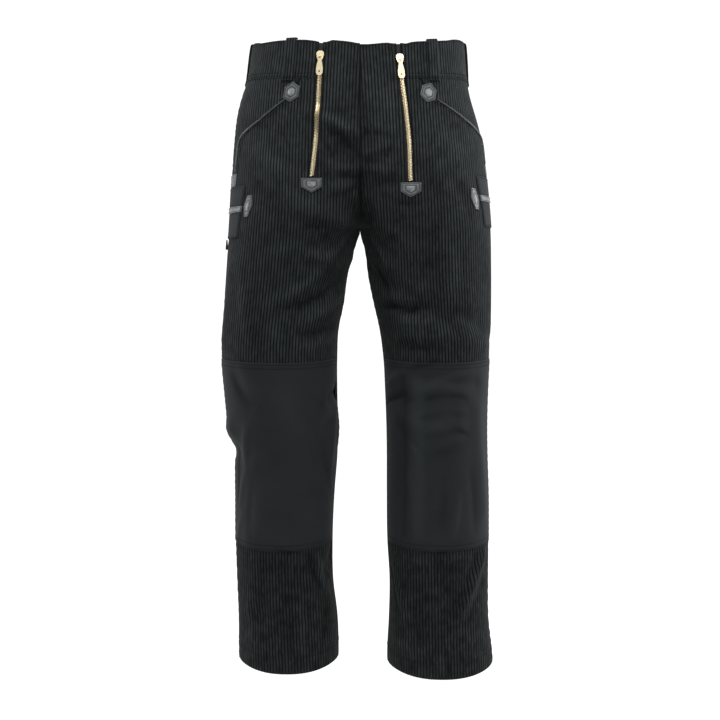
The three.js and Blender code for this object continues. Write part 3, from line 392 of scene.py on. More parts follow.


# Cloth is paler on the ridges of its creases and darker in their troughs, partly wear and partly painted light
# and shade, most where a crease rises by the last value below. Below the knee patches every ridge is taken as
# lower by the first value, which paints the shins darker as painted shade, and the change takes the second
# value of height.
SHIN_SHADE_RISE = 1.7
SHIN_SHADE_FADE = 40.0
RUB_AND_SHADE_RISE = 4.0


def lattice(side):
    """The folded cloth of one leg: points, outward directions, distances round each ring, and its wear with
    painted light and shade.
    """
    angle, height = np.meshgrid(ANGLES, HEIGHTS)
    ring = ring_points(side, angle, height)
    rise = np.zeros(angle.shape)
    for *ends, half_width, size in LARGE_FOLDS[side]:
        add_fold(rise, *ends, 0, half_width, size, False)
    crease = np.zeros(angle.shape)
    for *place, half_width, size in (*front_creases(side), *BACK_CREASES[side]):
        add_fold(crease, *place, half_width, size * CREASE_DEPTH, True)
    skin = ring + normals_of(ring, side) * (rise + crease)[..., None]
    fade = np.clip(1 - (TOP_EDGE - height) / WAVE_REACH, 0, 1.2)
    skin[..., 2] += np.interp(angle, *zip(*TOP_WAVES[side])) * fade * fade * (3 - 2 * np.minimum(fade, 1))
    steps = np.linalg.norm(np.diff(ring[..., :2], axis=1), axis=-1)
    arc = np.concatenate([np.zeros((len(HEIGHTS), 1)), np.cumsum(steps, axis=1)], axis=1)
    shin_shade = SHIN_SHADE_RISE * np.clip((KNEE_BOTTOM + SHIN_SHADE_FADE / 2 - height) / SHIN_SHADE_FADE, 0, 1)
    # Paler on crease ridges, darker in troughs and on the shins: partly wear, partly painted light and shade.
    rub_and_crease_shade = 0.5 + 0.5 * np.tanh((crease - shin_shade) / RUB_AND_SHADE_RISE)
    return {"skin": skin, "normal": normals_of(skin, side), "arc": arc, "rub_and_crease_shade": rub_and_crease_shade}


LATTICE = {side: lattice(side) for side in SIDES.values()}


def sample(grid, angle, height):
    """Values of a lattice between its points."""
    across = np.clip((angle - ANGLES[0]) / (ANGLES[1] - ANGLES[0]), 0, len(ANGLES) - 1.001)
    up = np.clip((height - HEIGHTS[0]) / (HEIGHTS[1] - HEIGHTS[0]), 0, len(HEIGHTS) - 1.001)
    i = across.astype(int)
    j = up.astype(int)
    u = across - i
    v = up - j
    if grid.ndim == 3:
        u = u[..., None]
        v = v[..., None]
    low = grid[j, i] * (1 - u) + grid[j, i + 1] * u
    high = grid[j + 1, i] * (1 - u) + grid[j + 1, i + 1] * u
    return low * (1 - v) + high * v


def skin_points(side, angle, height, out):
    """Points on the cloth's outer face, moved out by some millimetres."""
    angle, height, out = np.broadcast_arrays(np.asarray(angle, float), np.asarray(height, float), out)
    skin = sample(LATTICE[side]["skin"], angle, height)
    return skin + sample(LATTICE[side]["normal"], angle, height) * out[..., None]


def run_along(points):
    """Distances along a line of points from its start."""
    return np.concatenate([[0], np.cumsum(np.linalg.norm(np.diff(points, axis=0), axis=1))])


def angle_at_x(side, x, height):
    middle, half, *_ = oval(side, height)
    return np.degrees(np.arcsin(signed_power(np.clip((x - middle) / half, -1, 1), OVAL_POWER / 2)))


def stretch(side, angle, height):
    """Millimetres of cloth for each degree."""
    step = ring_points(side, angle + 1, height) - ring_points(side, angle - 1, height)
    return np.linalg.norm(step, axis=-1) / 2


def beside(side, angle, height, gap):
    """An angle moved round the leg by some millimetres of cloth."""
    return angle + gap / stretch(side, angle, height)


def centre_angle(side, height):
    return -np.degrees(np.arcsin(np.clip(oval(side, height)[4], 0, 1) ** (OVAL_POWER / 2)))


def inner_edge(side, height):
    seam = beside(side, inseam(height), height, SEAM_MEET)
    return np.where(height > CROTCH, centre_angle(side, height), seam)


def outer_edge(side, height):
    return beside(side, side_seam[side](height), height, -SEAM_MEET)


def back_outer_edge(side, height):
    return beside(side, side_seam[side](height), height, SEAM_MEET)


def back_inner_edge(side, height):
    seam = beside(side, 360 + inseam(height), height, -SEAM_MEET)
    return np.where(height > CROTCH, 180 - centre_angle(side, height), seam)


def mouth_edge(side, height, gap):
    return beside(side, mouth_line[side](height), height, gap)


def zip_angle(side, height, across):
    line = np.where(height > ZIP_END - 14, zip_line[side](height), oval(side, height)[0])
    return angle_at_x(side, line + across, height)


def rows_between(top, bottom, step, *kept):
    """Heights from top to bottom about one step apart, closer near both ends, with any that must be kept."""
    ends = np.array([0.0, 0.5, 1.1, 2.0, 3.6])
    count = max(int(round((top - bottom) / step)), 2)
    heights = np.concatenate([np.linspace(top, bottom, count + 1), top - ends, bottom + ends, kept])
    heights = np.unique(np.round(heights[(heights <= top) & (heights >= bottom)], 3))[::-1]
    return heights[np.concatenate([[True], np.diff(heights) < -0.4]) | np.isin(heights, (top, bottom, *kept))]


def arc_at(angles, arcs):
    """The distance round each ring to one angle on it."""
    return np.array([np.interp(angle, ANGLES, arc) for angle, arc in zip(angles, arcs)])[:, None]


def arc_rows(side, heights, grain, arc_height):
    """Distances round the ring from the grain line, one row for each height."""
    level = heights if arc_height is None else np.full(len(heights), float(arc_height))
    up = (level - HEIGHTS[0]) / (HEIGHTS[1] - HEIGHTS[0])
    j = np.clip(up.astype(int), 0, len(HEIGHTS) - 2)
    v = (up - j)[:, None]
    arc = LATTICE[side]["arc"]
    rows = arc[j] * (1 - v) + arc[j + 1] * v
    start = angle_at_x(side, grain_line[side](level), level)
    start = 180 - start if grain == "back" else start
    return rows - arc_at(start, rows)


def cloth_layer(side, heights, low, high, spacing, grain, arc_height):
    """Columns a fixed spacing apart along the cloth. Those beyond an edge fall together on it."""
    arcs = arc_rows(side, heights, grain, arc_height)
    low_arc = arc_at(low(side, heights), arcs)
    high_arc = arc_at(high(side, heights), arcs)
    place = np.arange(math.floor(low_arc.min() / spacing), math.ceil(high_arc.max() / spacing) + 1) * spacing
    margin = 0.2 * spacing
    inside = (place > low_arc + margin) & (place < high_arc - margin)
    begin = np.argmax(inside, axis=1)[:, None] - 1
    end = len(place) - np.argmax(inside[:, ::-1], axis=1)[:, None]
    column = np.arange(len(place))[None, :]
    ids = np.clip(column, begin, end) + np.arange(len(heights))[:, None] * len(place)
    across = np.where(inside, place, np.where(column <= begin, low_arc, high_arc))
    angle = np.array([np.interp(s, arc, ANGLES) for s, arc in zip(across, arcs)])
    height = np.broadcast_to(heights[:, None], angle.shape)
    return {"ids": ids, "across": across, "angle": angle, "height": height}


def distinct(faces):
    """Which triangles have three different corners."""
    return (faces[:, 0] != faces[:, 1]) & (faces[:, 1] != faces[:, 2]) & (faces[:, 2] != faces[:, 0])


def grid_faces(ids, turned):
    """Triangles of a grid of points, without those that have fallen together."""
    a, b, c, d = ids[:-1, :-1], ids[1:, :-1], ids[1:, 1:], ids[:-1, 1:]
    faces = np.concatenate([np.stack([a, b, c], -1).reshape(-1, 3), np.stack([a, c, d], -1).reshape(-1, 3)])
    faces = faces[distinct(faces)]
    return faces[:, ::-1] if turned else faces


def tube_faces(ids, turned):
    """Triangles of a grid whose last column joins its first."""
    return grid_faces(np.concatenate([ids, ids[:, :1]], axis=1), turned)


def rim_faces(outer, outer_place, inner, inner_place, turned):
    """Triangles that join an outer and an inner chain of points, which may differ in number."""
    faces = []
    i = j = 0
    while i < len(outer) - 1 or j < len(inner) - 1:
        if j == len(inner) - 1 or (i < len(outer) - 1 and outer_place[i + 1] <= inner_place[j + 1]):
            faces.append((outer[i + 1], outer[i], inner[j]))
            i += 1
        else:
            faces.append((outer[i], inner[j], inner[j + 1]))
            j += 1
    faces = np.array(faces)
    return faces[:, ::-1] if turned else faces


def chain(layer, edge):
    """One edge of a layer as numbers of points and their places, in the order that its faces run."""
    if edge in ("top", "bottom"):
        row = 0 if edge == "top" else -1
        numbers, first = np.unique(layer["ids"][row], return_index=True)
        places = layer["across"][row][first]
        return (numbers[::-1], -places[::-1]) if edge == "top" else (numbers, places)
    numbers = layer["ids"][:, 0 if edge == "low" else -1]
    places = -layer["height"][:, 0]
    return (numbers, places) if edge == "low" else (numbers[::-1], -places[::-1])


class MeshParts:
    """Points, triangles and values gathered for one object."""

    def __init__(self):
        self.points, self.faces, self.slots, self.cloth_place = [], [], [], []
        self.values = {"wale": [], "rub_and_crease_shade": []}
        self.count = 0

    def add_points(self, points, wale=0.5, cloth_place=None, rub_and_crease_shade=0.5):
        points = points.reshape(-1, 3)
        start = self.count
        self.points.append(points)
        for title, value in (("wale", wale), ("rub_and_crease_shade", rub_and_crease_shade)):
            self.values[title].append(np.broadcast_to(np.ravel(value), len(points)))
        self.cloth_place.append(points[:, [0, 2]] if cloth_place is None else cloth_place.reshape(-1, 2))
        self.count += len(points)
        return start

    def add_faces(self, faces, slot=0):
        self.faces.append(np.asarray(faces).reshape(-1, 3))
        self.slots.append(np.full(len(self.faces[-1]), slot))

    def add_shell(self, outer, inner, starts, turned, rims=("top", "low", "high", "bottom"), lining=0):
        """Faces of an outer and an inner layer of points, and of the rims between them."""
        self.add_faces(grid_faces(outer["ids"] + starts[0], turned))
        self.add_faces(grid_faces(inner["ids"] + starts[1], not turned), lining)
        for edge in rims:
            outer_ids, outer_place = chain(outer, edge)
            inner_ids, inner_place = chain(inner, edge)
            faces = rim_faces(outer_ids + starts[0], outer_place, inner_ids + starts[1], inner_place, turned)
            self.add_faces(faces, lining if edge in ("low", "high") else 0)

    def build(self, name, materials, sharp=68):
        """The object, in metres, with points that lie together joined. It rides on the garment's body."""
        points = np.concatenate(self.points)
        _, first, number = np.unique(np.round(points, 2), axis=0, return_index=True, return_inverse=True)
        faces = number.reshape(-1)[np.concatenate(self.faces)]
        whole = distinct(faces)
        used, faces = np.unique(faces[whole], return_inverse=True)
        faces = faces.reshape(-1, 3)
        kept = first[used]
        mesh = bpy.data.meshes.new(name)
        mesh.vertices.add(len(kept))
        mesh.vertices.foreach_set("co", (points[kept] * 0.001).astype(np.float32).ravel())
        mesh.loops.add(faces.size)
        mesh.loops.foreach_set("vertex_index", faces.astype(np.int32).ravel())
        mesh.polygons.add(len(faces))
        mesh.polygons.foreach_set("loop_start", np.arange(0, faces.size, 3, dtype=np.int32))
        mesh.polygons.foreach_set("loop_total", np.full(len(faces), 3, np.int32))
        mesh.polygons.foreach_set("material_index", np.concatenate(self.slots)[whole].astype(np.int32))
        mesh.update(calc_edges=True)
        for title, values in self.values.items():
            attribute = mesh.attributes.new(title, "FLOAT", "POINT")
            attribute.data.foreach_set("value", np.concatenate(values)[kept].astype(np.float32))
        place = np.concatenate(self.cloth_place)[kept] * 0.001
        uv_map = mesh.uv_layers.new(name="cloth")
        uv_map.data.foreach_set("uv", place[faces.ravel()].astype(np.float32).ravel())
        mesh.shade_smooth()
        mesh.set_sharp_from_angle(angle=math.radians(sharp))
        for material in materials:
            mesh.materials.append(material)
        made = bpy.data.objects.new(name, mesh)
        bpy.context.scene.collection.objects.link(made)
        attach(made, "trousers")
        return made


def linear(colour):
    """A hex sRGB colour as linear values with full alpha."""
    parts = [int(colour[i:i + 2], 16) / 255 for i in (1, 3, 5)]
    return (*[p / 12.92 if p <= 0.04045 else ((p + 0.055) / 1.055) ** 2.4 for p in parts], 1.0)


def add_node(tree, kind, settings=None, inputs=None):
    """One shader node with its settings, and its inputs set to values or linked to nodes or sockets."""
    made = tree.nodes.new(kind)
    for name, value in (settings or {}).items():
        setattr(made, name, value)
    for name, value in (inputs or {}).items():
        if isinstance(value, bpy.types.Node):
            value = value.outputs[0]
        if isinstance(value, bpy.types.NodeSocket):
            tree.links.new(value, made.inputs[name])
        else:
            made.inputs[name].default_value = value
    return made


def new_material(name, on_cloth=False):
    """A material with its tree, its surface shader, and the place of a point along the cloth or in space."""
    material = bpy.data.materials.new(name)
    material.use_nodes = True
    tree = material.node_tree
    tree.nodes.clear()
    shader = add_node(tree, "ShaderNodeBsdfPrincipled")
    add_node(tree, "ShaderNodeOutputMaterial", None, {"Surface": shader})
    if on_cloth:
        return material, tree, shader, add_node(tree, "ShaderNodeUVMap", {"uv_map": "cloth"}).outputs[0]
    return material, tree, shader, add_node(tree, "ShaderNodeTexCoord").outputs["Object"]


def finish(tree, shader, values, tone, dark, pale, relief=None, strength=0.0, depth=0.0, sunk=False):
    """Gives a surface its values, a colour from dark to pale by a tone, and the bump of a relief."""
    for name, value in values.items():
        shader.inputs[name].default_value = value
    dark, pale = [linear(colour) if isinstance(colour, str) else colour for colour in (dark, pale)]
    colour = add_node(tree, "ShaderNodeMix", {"data_type": "RGBA"}, {0: tone, 6: dark, 7: pale})
    tree.links.new(colour.outputs[2], shader.inputs["Base Color"])
    if relief is not None:
        bump = add_node(tree, "ShaderNodeBump", {"invert": sunk}, {
            "Height": relief, "Strength": strength, "Distance": depth,
        })
        tree.links.new(bump.outputs[0], shader.inputs["Normal"])


# Corduroy: cut weft pile stands up in round ribs, black and soft. Their valleys are painted darker, as painted
# shade, and their crests paler, as a painted sheen. The pile catches light at a grazing angle and is brushed
# unevenly. It is paler on crease ridges and darker in their troughs and on the shins: partly wear, partly
# painted light and shade.
# Its single tufts are drawn at nearly a millimetre, coarser than real, so that they show.
RIB_PITCH = 5.0
RIB_RELIEF = 0.8
RIB_ROUNDNESS = 0.7
PRESSED_IN = 0.15
COLUMNS_PER_RIB = 5
corduroy, tree, shader, place = new_material("wide_wale_corduroy", on_cloth=True)
streak_place = add_node(tree, "ShaderNodeMapping", None, {
    "Vector": place, "Scale": (1 / 0.004, 1 / 0.016, 1),
})
streaks = add_node(tree, "ShaderNodeTexNoise", None, {"Vector": streak_place, "Scale": 1.0, "Detail": 4.0})
nap = add_node(tree, "ShaderNodeTexNoise", None, {
    "Vector": place, "Scale": 1 / 0.022, "Detail": 5.0, "Roughness": 0.65,
})
tufts = add_node(tree, "ShaderNodeTexNoise", None, {"Vector": place, "Scale": 1 / 0.0009, "Detail": 2.0})
# This attribute paints crease ridges paler and their troughs and the shins darker: partly wear, partly painted
# light and shade.
rub_and_crease_shade = add_node(tree, "ShaderNodeAttribute", {"attribute_name": "rub_and_crease_shade"}).outputs["Fac"]
brushed_and_shaded = add_node(tree, "ShaderNodeMath", {"operation": "ADD"}, {0: nap, 1: rub_and_crease_shade})
brushed_and_shaded = add_node(tree, "ShaderNodeMath", {"operation": "ADD"}, {0: streaks, 1: brushed_and_shaded})
wear_and_shade = add_node(tree, "ShaderNodeMapRange", None, {"Value": brushed_and_shaded, "From Min": 1.07, "From Max": 1.87})
crest = add_node(tree, "ShaderNodeMix", {"data_type": "RGBA"}, {
    0: wear_and_shade, 6: linear("#121415"), 7: linear("#373c3d"),
})
# This attribute paints the rib valleys dark, as painted shade, and the crests pale, as a painted sheen.
rib = add_node(tree, "ShaderNodeAttribute", {"attribute_name": "wale"}).outputs["Fac"]
lit_rib = add_node(tree, "ShaderNodeMapRange", None, {"Value": rib, "From Min": 0.3, "From Max": 1.0})
finish(tree, shader, {
    "Roughness": 0.95, "Specular IOR Level": 0.15,
    "Sheen Weight": 0.12, "Sheen Roughness": 0.4, "Sheen Tint": linear("#b4b9b9"),
}, lit_rib, "#060707", crest.outputs[2], tufts, 0.5, 0.0005)

# The woven back of the corduroy, flat and matt, shows inside the waist and hems.
# A band of a wave texture is 0.31 of its scale, so the twill's lines are 0.4 mm apart, as real ones are.
corduroy_back, tree, shader, place = new_material("corduroy_ground_weave", on_cloth=True)
twill_place = add_node(tree, "ShaderNodeMapping", None, {
    "Vector": place, "Rotation": (0, 0, math.radians(60)), "Scale": (1 / 0.0012,) * 3,
})
twill = add_node(tree, "ShaderNodeTexWave", None, {"Vector": twill_place, "Scale": 1.0, "Distortion": 1.0})
nap = add_node(tree, "ShaderNodeTexNoise", None, {"Vector": place, "Scale": 1 / 0.02, "Detail": 3.0})
finish(tree, shader, {"Roughness": 0.92}, nap, "#0e1011", "#1a1d1f", twill.outputs["Fac"], 0.3, 0.0003)

# The pocket on each thigh presses the ribs flat under it, as the knee patches do. It is held as the angles of
# its front and back edges, then the heights of its top, of its bound mouth's top and foot, and of its bottom.
THIGH_POCKETS = {
    RIGHT: (49.5, 122.0, -199.0, -231.0, -241.0, -281.0),
    LEFT: (55.5, 126.0, -183.0, -213.0, -223.0, -263.0),
}


def smooth_step(value, low, high):
    t = np.clip((value - low) / (high - low), 0, 1)
    return t * t * (3 - 2 * t)


def within(value, low, high, soft):
    """1 well between two limits and 0 beyond them, with a soft change inside each."""
    return smooth_step(value, low, low + soft) * smooth_step(-value, -high, soft - high)


def covered(side, angle, height):
    """1 where a knee patch or thigh pocket lies on the panel and presses the ribs flat."""
    knee = within(height, KNEE_BOTTOM, KNEE_TOP, 4)
    front = (angle < side_seam[side](height) + 0.2) & (angle > inseam(height) - 0.2)
    pocket_front, pocket_back, top, _, _, bottom = THIGH_POCKETS[side]
    pocket = within(height, bottom, top, 4) * within(angle, pocket_front, pocket_back, 2)
    return np.maximum(knee * front, pocket)


def ribs(side, layer):
    """Height of the uneven ribs above the cloth, and how near each point is to a crest."""
    phase = layer["across"] / RIB_PITCH
    number = np.floor(phase).astype(int)
    crest = np.sin(np.pi * (phase - number)) ** RIB_ROUNDNESS
    fullness = 0.88 + 0.12 * np.sin(number * 12.9898 + side) * np.sin(number * 4.1414 + layer["height"] / 90)
    flat = 1 - covered(side, layer["angle"], layer["height"])
    return RIB_RELIEF * (crest * fullness - 0.5) * flat - PRESSED_IN * (1 - flat), crest * flat


# Edges. A folded edge rolls in. Along a sewn side the cloth dips to the seam, rises over the allowance that
# is turned under it, and puckers in waves along the stitching.
FOLD_RADIUS = 1.6
FOLD_ROLL = 0.75
SEAM_DIP = 0.9
SEAM_DIP_WIDTH = 1.8
ALLOWANCE_RISE = 0.35
ALLOWANCE_MIDDLE = 5.5
ALLOWANCE_WIDTH = 4.0
PUCKER_WIDTH = 8.0


def edge_roll(layer, rolled):
    """How far the outer face draws in at a folded top or bottom edge."""
    roll = np.zeros(layer["height"].shape)
    for edge, row in (("top", 0), ("bottom", -1)):
        if edge in rolled:
            away = np.clip(1 - np.abs(layer["height"] - layer["height"][row, 0]) / FOLD_RADIUS, 0, 1)
            roll -= FOLD_RADIUS * FOLD_ROLL * (1 - np.sqrt(np.clip(1 - away**2, 0, 1)))
    return roll


def edge_turn(layer, side, puckering):
    """How the outer face moves out along its sewn sides, and how much of the ribs is left there."""
    across, height = layer["across"], layer["height"]
    away = np.minimum(across - across[:, :1], across[:, -1:] - across)
    turn = -SEAM_DIP * np.clip(1 - away / SEAM_DIP_WIDTH, 0, 1) ** 2
    over = ALLOWANCE_RISE * np.exp(-((away - ALLOWANCE_MIDDLE) / ALLOWANCE_WIDTH) ** 2)
    wave = np.sin(height / 1.9 + 2.2 * np.sin(height / 23 + side))
    pucker = puckering * wave * np.exp(-(away / PUCKER_WIDTH) ** 2)
    return turn + over + pucker, np.clip(away / 2.5, 0, 1)


CENTRE_LINES = [inner_edge, back_inner_edge]


def add_wall(parts, side, heights, low, high, rims=("top", "low", "high", "bottom"), proud=0.0, inside=None,
             plain_grid=None, grain="front", arc_height=None, rolled=(), puckering=0.55):
    """A wall of cloth between two lines on the leg: an outer face, a plain inner face and the rims that show.

    Its inner face lies at the given distance out of the leg, or one thickness in, more at the turned-up hem.
    It is ribbed, unless it is smooth with a plain grid of the given spacing.
    """
    outer, inner = [
        cloth_layer(side, heights, low, high, plain_grid or spacing, grain, arc_height)
        for spacing in (RIB_PITCH / COLUMNS_PER_RIB, RIB_PITCH)
    ]
    shape = outer["angle"].shape
    lift, crest = (np.zeros(shape), np.full(shape, 0.5)) if plain_grid else ribs(side, outer)
    turn, open_edge = edge_turn(outer, side, puckering)
    lift = lift + proud + turn + edge_roll(outer, rolled)
    crest = crest * (0.25 + 0.75 * open_edge)
    if inside is None:
        inside = -np.where(inner["height"] < HEM_LINE, HEM_CLOTH, CLOTH)
    starts = []
    for layer, out, wale in ((outer, lift, crest), (inner, inside, 0.5)):
        points = skin_points(side, layer["angle"], layer["height"], out)
        points[..., 0] = side * np.maximum(side * points[..., 0], 0)
        for line, edge in ((low, layer["across"][:, :1]), (high, layer["across"][:, -1:])):
            if line in CENTRE_LINES:
                points[(layer["across"] == edge) & (layer["height"] > CROTCH), 0] = 0
        rub_and_crease_shade = sample(LATTICE[side]["rub_and_crease_shade"], layer["angle"], layer["height"])
        place = np.stack([layer["across"], layer["height"]], -1)
        starts.append(parts.add_points(points, wale, place, rub_and_crease_shade))
    parts.add_shell(outer, inner, starts, side < 0, rims, lining=1)


ROW_STEP = 7.0
HIP_ROW_STEP = 4.0
SLIDER_HEIGHT = {RIGHT: 11.0, LEFT: 6.0}


def slot_half(side, height):
    """Half the width of the zip's opening: the cloth closes in over the tape above the slider."""
    return SLOT_HALF - 2.0 * smooth_step(height, SLIDER_HEIGHT[side] + 6, SLIDER_HEIGHT[side] + 14)


def zip_inner(side, height):
    return zip_angle(side, height, -slot_half(side, height))


def zip_outer(side, height):
    return zip_angle(side, height, slot_half(side, height))


def pocket_mouth(side, height):
    return mouth_edge(side, height, -SEAM_GAP)


for name, side in SIDES.items():
    parts = MeshParts()
    flap_rows = rows_between(TOP_EDGE, ZIP_END, ROW_STEP)
    hip_rows = rows_between(BAND_SEAM, MOUTH_END[side], HIP_ROW_STEP)
    low_hip_rows = rows_between(MOUTH_END[side], ZIP_END, ROW_STEP)
    hem_rows = (HEM_LINE + 1, HEM_LINE - 2)
    leg_rows = rows_between(ZIP_END, HEM[side], ROW_STEP, CROTCH, KNEE_TOP, KNEE_BOTTOM, *hem_rows)
    add_wall(parts, side, flap_rows, inner_edge, zip_inner, ("top", "low", "high"), rolled=("top",))
    add_wall(parts, side, hip_rows, zip_outer, pocket_mouth, ("top", "low", "high"))
    add_wall(parts, side, low_hip_rows, zip_outer, outer_edge, ("low", "high"))
    add_wall(parts, side, leg_rows, inner_edge, outer_edge, ("low", "high", "bottom"), rolled=("bottom",))
    front = parts.build(f"front_panel_{name}", [corduroy, corduroy_back])
    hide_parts(f"front_{name}")

    parts = MeshParts()
    back_rows = rows_between(BAND_SEAM, HEM[side], ROW_STEP, CROTCH, *hem_rows)
    add_wall(parts, side, back_rows, back_outer_edge, back_inner_edge, grain="back", rolled=("bottom",))
    back = parts.build(f"back_panel_{name}", [corduroy, corduroy_back])
    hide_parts(f"back_{name}")

# Hip facings. A separate piece of the same corduroy lies behind each slanted pocket mouth
# and fills the hip from the mouth round to the side seam.
FACING_STEP = 5.0


def facing_mouth(side, height):
    return mouth_edge(side, height, SEAM_GAP)


for name, side in SIDES.items():
    parts = MeshParts()
    facing_rows = rows_between(BAND_SEAM, MOUTH_END[side] + SEAM_GAP, FACING_STEP)
    add_wall(parts, side, facing_rows, facing_mouth, outer_edge)
    facing = parts.build(f"hip_facing_{name}_cord", [corduroy, corduroy_back])
    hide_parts(f"hip_facing_{name}")

# Stitching. Black polyester thread, pulled down into the cloth in short even stitches,
# one shared form of a stitch with round ends that every seam below repeats. Its twist shows every 0.6 mm.
THREAD_RADIUS = 0.34
thread, tree, shader, place = new_material("polyester_sewing_thread")
twist = add_node(tree, "ShaderNodeTexWave", {"bands_direction": "DIAGONAL"}, {
    "Vector": place, "Scale": 1 / 0.0016,
}).outputs["Fac"]
finish(tree, shader, {"Roughness": 0.8, "Specular IOR Level": 0.2}, twist, "#050606", "#101112",
       twist, 0.4, 0.0001)

# A stitch: three rings of five points and a point at each end, along X, with Z out of the cloth.
# Its ends dip into the cloth and its middle stands up, both as shares of its radius.
STITCH_RINGS = ((-0.42, 0.8), (0.0, 1.0), (0.42, 0.8))
STITCH_SIDES = 5
STITCH_DIP = 0.3
STITCH_RISE = 0.35


def stitch_form(length, radius):
    turn = np.arange(STITCH_SIDES) * 2 * math.pi / STITCH_SIDES
    points = [(-length / 2, 0, -radius * STITCH_DIP)]
    for along, share in STITCH_RINGS:
        lift = radius * STITCH_RISE * (1 - abs(along))
        wide = share * radius
        points += [(along * length, wide * math.cos(a), wide * math.sin(a) + lift) for a in turn]
    points.append((length / 2, 0, -radius * STITCH_DIP))
    faces = []
    last = len(points) - 1
    for k in range(STITCH_SIDES):
        after = (k + 1) % STITCH_SIDES
        faces.append((0, 1 + after, 1 + k))
        for ring in (0, 1):
            a, b = 1 + ring * STITCH_SIDES + k, 1 + ring * STITCH_SIDES + after
            faces += [(a, b, b + STITCH_SIDES), (a, b + STITCH_SIDES, a + STITCH_SIDES)]
        faces.append((last, 1 + 2 * STITCH_SIDES + k, 1 + 2 * STITCH_SIDES + after))
    return np.array(points), np.array(faces)


def add_stitches(parts, side, angles, heights, out, length=2.6, pitch=3.4, radius=THREAD_RADIUS, slot=0):
    """A row of stitches along a line on the leg, given by the angles and heights of its points."""
    angles, heights = np.broadcast_arrays(angles, heights)
    fine = np.linspace(0, 1, 12 * len(angles))
    at = np.linspace(0, 1, len(angles))
    angle = np.interp(fine, at, angles)
    height = np.interp(fine, at, heights)
    line = skin_points(side, angle, height, out)
    run = run_along(line)
    count = max(int(run[-1] / pitch), 1)
    stops = (np.arange(count) + 0.5) * run[-1] / count
    angle, height = np.interp(stops, run, angle), np.interp(stops, run, height)
    normal = sample(LATTICE[side]["normal"], angle, height)
    centre = skin_points(side, angle, height, out)
    behind, ahead = [
        np.stack([np.interp(stops + shift, run, line[:, k]) for k in range(3)], -1) for shift in (-1.0, 1.0)
    ]
    along = ahead - behind
    along -= normal * (along * normal).sum(-1, keepdims=True)
    along /= np.linalg.norm(along, axis=-1, keepdims=True)
    form, faces = stitch_form(length, radius)
    points = centre[:, None]
    for k, way in enumerate((along, np.cross(normal, along), normal)):
        points = points + form[None, :, k:k + 1] * way[:, None]
    start = parts.add_points(points)
    parts.add_faces(faces[None] + (np.arange(count) * len(form))[:, None, None] + start, slot)


def line_heights(top, bottom):
    return np.linspace(top, bottom, max(int((top - bottom) / 4), 3))


# Rows of the panels: how far each lies from its edge, in degrees at the centre, and how far its thread stands
# out of the cloth.
TOPSTITCH_OUT = 0.55
TOP_STITCH_DROP = 2.6
ZIP_STITCH = (7.4, 13.5)
MOUTH_STITCH = (3.6, 10.0)
SIDE_STITCH = 4.0
CENTRE_STITCH = 2.6 / 1.9
HEM_STITCH = 26.0
for name, side in SIDES.items():
    parts = MeshParts()
    turn = np.linspace(float(inner_edge(side, TOP_EDGE)), float(zip_inner(side, TOP_EDGE)), 12)
    add_stitches(parts, side, turn, TOP_EDGE - TOP_STITCH_DROP, TOPSTITCH_OUT)
    heights = line_heights(TOP_EDGE - 3, ZIP_END + 12)
    lower = heights[heights < BAND_SEAM - 3]
    for away in ZIP_STITCH:
        add_stitches(parts, side, zip_angle(side, heights, -away), heights, TOPSTITCH_OUT)
        add_stitches(parts, side, zip_angle(side, lower, away), lower, TOPSTITCH_OUT)
    lower = line_heights(BAND_SEAM - 24, MOUTH_END[side] + 2)
    for away in MOUTH_STITCH:
        add_stitches(parts, side, mouth_edge(side, lower, -away), lower, TOPSTITCH_OUT)
    lower = line_heights(MOUTH_END[side] - 24, KNEE_TOP + 4)
    seam = back_outer_edge(side, lower)
    add_stitches(parts, side, seam + SIDE_STITCH / stretch(side, seam, lower), lower, TOPSTITCH_OUT)
    hem = np.linspace(inseam(HEM[side]), 360 + inseam(HEM[side]), 160)
    add_stitches(parts, side, hem, HEM[side] + HEM_STITCH, TOPSTITCH_OUT)
    for edge, top, shift in (
        (inner_edge, TOP_EDGE - 4, CENTRE_STITCH),
        (back_inner_edge, BAND_SEAM - 3, -CENTRE_STITCH),
    ):
        rise = line_heights(top, CROTCH + 12)
        add_stitches(parts, side, edge(side, rise) + shift, rise, TOPSTITCH_OUT)
    stitches = parts.build(f"panel_stitches_{name}", [thread])

# Waistband. A straight strip of the corduroy, folded over at the top and stitched along both edges.
# It runs from the zip round to the centre back, with its ribs upright.
BAND_PROUD = 0.8
BAND_ROW_STEP = 4.0
BAND_STITCHES = (TOP_EDGE - 2.6, BAND_SEAM + 3.0, BAND_SEAM + 8.5)


def band_back_edge(side, height):
    return np.full(np.shape(height), float(back_inner_edge(side, BAND_SEAM)))


CENTRE_LINES.append(band_back_edge)
for name, side in SIDES.items():
    parts = MeshParts()
    band_rows = rows_between(TOP_EDGE, BAND_SEAM + SEAM_GAP, BAND_ROW_STEP)
    add_wall(parts, side, band_rows, zip_outer, band_back_edge, proud=BAND_PROUD, inside=-CLOTH, arc_height=0,
             rolled=("top",))
    band = parts.build(f"waistband_{name}_cord", [corduroy, corduroy_back])
    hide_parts(f"waistband_{name}")
    parts = MeshParts()
    turn = np.linspace(float(zip_outer(side, 0)) + 1, float(back_inner_edge(side, 0)) - 0.5, 120)
    for height in BAND_STITCHES:
        add_stitches(parts, side, turn, height, BAND_PROUD + TOPSTITCH_OUT)
    stitches = parts.build(f"waistband_stitches_{name}", [thread])

